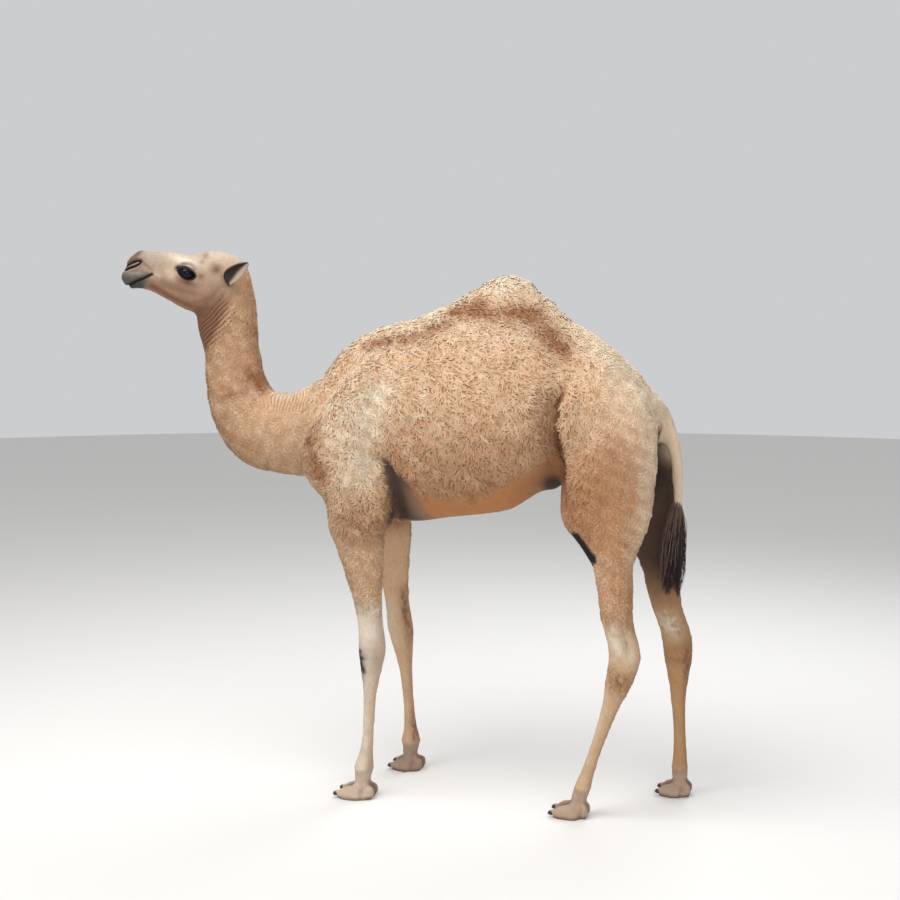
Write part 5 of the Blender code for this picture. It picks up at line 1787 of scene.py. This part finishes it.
class CAMEL_OT_eyes(bpy.types.Operator):
    """Makes the two wet dark eyes and their lashes"""
    bl_idname = "camel.make_eyes"
    bl_label = "Eyes and lashes"

    def execute(self, context):
        settings = context.scene.camel_eyes
        ball = painted_material("eyeball", 0.07, 0.16)
        lash = plain_material("lash_hair", (0.008, 0.006, 0.006), 0.75)
        for sign, side in ((1, "left"), (-1, "right")):
            centre = head_place(EYE_AHEAD, sign * EYE_ASIDE, EYE_HEIGHT)
            shape = bmesh.new()
            bmesh.ops.create_uvsphere(shape, u_segments=48, v_segments=32, radius=EYE_RADIUS - 0.0004)
            outward = Vector(ASIDE * sign + AHEAD * 0.1).normalized()
            turn = outward.to_track_quat("Z", "Y").to_matrix().to_4x4()
            for vertex in shape.verts:
                vertex.co.z += 0.001 * settle(0.8, 1.0, vertex.co.z / EYE_RADIUS)
            bmesh.ops.transform(shape, matrix=Matrix.Translation(centre) @ turn, verts=shape.verts)
            mesh = mesh_from_bmesh(f"eye_{side}_ball", shape)
            local = read_points(mesh) - np.array(centre)
            reach = local @ np.array(outward)
            upright = local[:, 2]
            sideways = np.sqrt(np.maximum(np.sum(local ** 2, axis=1) - reach ** 2 - upright ** 2, 0.0))
            pupil = np.hypot(sideways / 0.007, upright / 0.0035)
            colours = layered(filled(settings.eye_colour, len(local)), (
                (settings.iris_colour, settle(0.0125, 0.0105, np.hypot(upright, sideways)) * (reach > 0)),
                (PUPIL_BLACK, settle(1.15, 0.85, pupil) * (reach > 0)),
            ))
            paint(mesh, colours)
            rounded_off(mesh)
            thing = finished(object_from(f"eyeball_{side}", mesh), "eye", ball)
            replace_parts(thing, f"eye_{side}")
            self.lashes(sign, side, settings.lashes, lash)
        return {"FINISHED"}

    def lashes(self, sign, side, count, material):
        """Sets one row of lashes along each lid, three on the upper one to each on the lower one."""
        rng = np.random.default_rng(91 if sign > 0 else 92)
        template, faces = lock_template(LASH_LEVELS, LASH_WIDTHS)
        lower = np.arange(count) % 4 == 3
        share = (np.arange(count) + rng.uniform(0.2, 0.8, count)) / count
        fan = 0.91 * (2.0 * share - 1.0)
        over = fan * LID_HALF_LENGTH
        room = np.maximum(1.0 - np.abs(fan) ** LID_POWER, 0.0) ** (1.0 / LID_POWER)
        rise = np.where(lower, -LID_LOWER * room - 0.001, LID_UPPER * room + 0.0006) + LID_LEAN * over
        reach = np.sqrt(np.maximum((EYE_RADIUS + 0.0024) ** 2 - over ** 2 - rise ** 2, 0.0))
        ahead, aside, height = EYE_AHEAD + over, sign * (EYE_ASIDE + reach), EYE_HEIGHT + rise
        roots = np.array([head_place(*place) for place in zip(ahead, aside, height)])
        up = np.array((0.0, 0.0, 1.0))
        fan = AHEAD * fan[:, None]
        first = unit(ASIDE * sign * 0.95 + fan * 0.55 + up * np.where(lower, -0.35, -0.05)[:, None])
        second = unit(ASIDE * sign * 0.35 + fan * 0.6 + up * np.where(lower, -0.75, -0.62)[:, None])
        length = np.where(lower, 0.008, 0.0165) * rng.uniform(0.75, 1.15, count)
        t = np.asarray(LASH_LEVELS)
        bent = 0.5 * t * t
        line = moved_by(roots, (first, length[:, None] * (t - bent)), (second, length[:, None] * bent))
        sideways = unit(np.cross(first, second) + 1e-6)
        half = np.tile(template[:, :2] * 0.5 * LASH_WIDTH, (count, 1, 1))
        line = line[:, ring_of(template, LASH_LEVELS)]
        shaped = moved_by(line, (sideways, half[:, :, 0]), (np.cross(sideways, first), half[:, :, 1]))
        flat = np.stack((share, lower.astype(float)), axis=1)
        colours = np.full((count, len(template), 3), 0.012)
        hair_piece(f"lashes_{side}", template, faces, shaped, colours, flat, "tail_hair", material)


class CAMEL_OT_nails(bpy.types.Operator):
    """Sets a small dark nail on the tip of each of the eight toes"""
    bl_idname = "camel.make_nails"
    bl_label = "Nails"

    def execute(self, context):
        colour = (*context.scene.camel_eyes.nail_colour, 1.0)
        material, nodes, links = new_material("nail_horn", base_color=colour, roughness=0.42)
        place = nodes.new("ShaderNodeTexCoord").outputs["Object"]
        add_bump(nodes, links, add_noise(nodes, links, place, 420.0, 2.0), 0.0005)
        nails = [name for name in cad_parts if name.startswith("nail_")]
        if len(nails) != 8:
            raise RuntimeError("the packed model should have eight nails")
        for name in nails:
            low, high = (Vector(corner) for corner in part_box(name))
            size = high - low
            shape = bmesh.new()
            bmesh.ops.create_uvsphere(shape, u_segments=24, v_segments=16, radius=1.0)
            for vertex in shape.verts:
                # Wide and flat at the root, drawn to a blunt point that hooks down in front.
                ahead = max(-vertex.co.y, 0.0)
                vertex.co.x *= 1.0 - 0.34 * ahead * ahead
                vertex.co.z -= 0.3 * ahead * ahead
            scale = Matrix.Diagonal((0.46 * size.x, 0.52 * size.y, 0.36 * size.z, 1.0))
            middle = Matrix.Translation(low + size * Vector((0.5, 0.42, 0.5)))
            bmesh.ops.transform(shape, matrix=middle @ scale, verts=shape.verts)
            bmesh.ops.recalc_face_normals(shape, faces=shape.faces)
            mesh = mesh_from_bmesh(f"{name}_horn", shape)
            rounded_off(mesh)
            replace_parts(finished(object_from(f"{name}_horn", mesh), "nail", material), name)
        return {"FINISHED"}


# ---- Stage ----

CAMERA_PLACE = (4.7621, 1.4755, 1.62)
CAMERA_AIM = (0.0403, 0.166, 1.14)


def aimed(thing, place, aim):
    """Puts a lamp or camera at place, turned to aim."""
    thing.location = place
    thing.rotation_euler = (Vector(aim) - Vector(place)).to_track_quat("-Z", "Y").to_euler()
    return thing


class CAMEL_OT_stage(bpy.types.Operator):
    """Sets the pale floor, the soft lights and the camera"""
    bl_idname = "camel.make_stage"
    bl_label = "Stage"

    def execute(self, context):
        settings = context.scene.camel_stage
        shape = bmesh.new()
        bmesh.ops.create_circle(shape, cap_ends=True, segments=96, radius=14.0)
        floor = object_from("floor", mesh_from_bmesh("floor", shape))
        floor.data.materials.append(plain_material("pale_floor", settings.floor_colour, 0.9))
        world = bpy.data.worlds.new("pale_room")
        world.use_nodes = True
        background = world.node_tree.nodes["Background"]
        set_inputs(background, color=(0.97, 0.98, 1.0, 1.0), strength=settings.room_light)
        context.scene.world = world
        context.scene.view_settings.view_transform = "Standard"
        key = settings.key_power
        for light in (
            ("key_light", (1.6, -0.9, 4.3), (0.0, 0.1, 1.2), 3.2, key, (1.0, 0.985, 0.965)),
            ("fill_light", (4.6, 2.6, 2.2), (0.0, 0.2, 1.0), 3.0, settings.fill_power, (1.0, 0.98, 0.96)),
            ("rim_light", (-2.6, 1.2, 3.6), (0.0, 0.1, 1.2), 2.4, 0.45 * key, (0.96, 0.98, 1.0)),
        ):
            self.light(*light)
        camera = bpy.data.cameras.new("camera")
        camera.lens = settings.lens
        camera.sensor_width = 36.0
        camera.dof.use_dof = False
        context.scene.camera = aimed(object_from("camera", camera), CAMERA_PLACE, CAMERA_AIM)
        return {"FINISHED"}

    def light(self, name, place, aim, size, power, colour):
        """Hangs one round soft light at place, turned to aim."""
        lamp = bpy.data.lights.new(name, "AREA")
        lamp.shape = "DISK"
        lamp.size = size
        lamp.energy = power
        lamp.color = colour
        aimed(object_from(name, lamp), place, aim)


# ---- Panel and registration ----

SETTINGS = (
    ("camel_skin", CamelSkinSettings),
    ("camel_fleece", CamelFleeceSettings),
    ("camel_short_hair", CamelShortHairSettings),
    ("camel_eyes", CamelEyeSettings),
    ("camel_tail", CamelTailSettings),
    ("camel_stage", CamelStageSettings),
)
OPERATORS = (
    CAMEL_OT_skin,
    CAMEL_OT_fleece,
    CAMEL_OT_short_hair,
    CAMEL_OT_tassel,
    CAMEL_OT_eyes,
    CAMEL_OT_nails,
    CAMEL_OT_stage,
)


class CAMEL_PT_panel(bpy.types.Panel):
    """Lists the settings and the steps that build the camel"""
    bl_idname = "CAMEL_PT_panel"
    bl_label = "Camel"
    bl_space_type = "VIEW_3D"
    bl_region_type = "UI"
    bl_category = "Camel"

    def draw(self, context):
        for attribute, group in SETTINGS:
            box = self.layout.box()
            values = getattr(context.scene, attribute)
            for key in group.__annotations__:
                box.prop(values, key)
        for operator in OPERATORS:
            self.layout.operator(operator.bl_idname)


def register():
    for attribute, group in SETTINGS:
        bpy.utils.register_class(group)
        setattr(bpy.types.Scene, attribute, PointerProperty(type=group))
    for operator in OPERATORS:
        bpy.utils.register_class(operator)
    bpy.utils.register_class(CAMEL_PT_panel)


def unregister():
    bpy.utils.unregister_class(CAMEL_PT_panel)
    for operator in reversed(OPERATORS):
        bpy.utils.unregister_class(operator)
    for attribute, group in reversed(SETTINGS):
        delattr(bpy.types.Scene, attribute)
        bpy.utils.unregister_class(group)


def main():
    register()
    bpy.ops.camel.make_skin()
    bpy.ops.camel.make_fleece()
    bpy.ops.camel.make_short_hair()
    bpy.ops.camel.make_tassel()
    bpy.ops.camel.make_eyes()
    bpy.ops.camel.make_nails()
    bpy.ops.camel.make_stage()


if __name__ == "__main__":
    main()
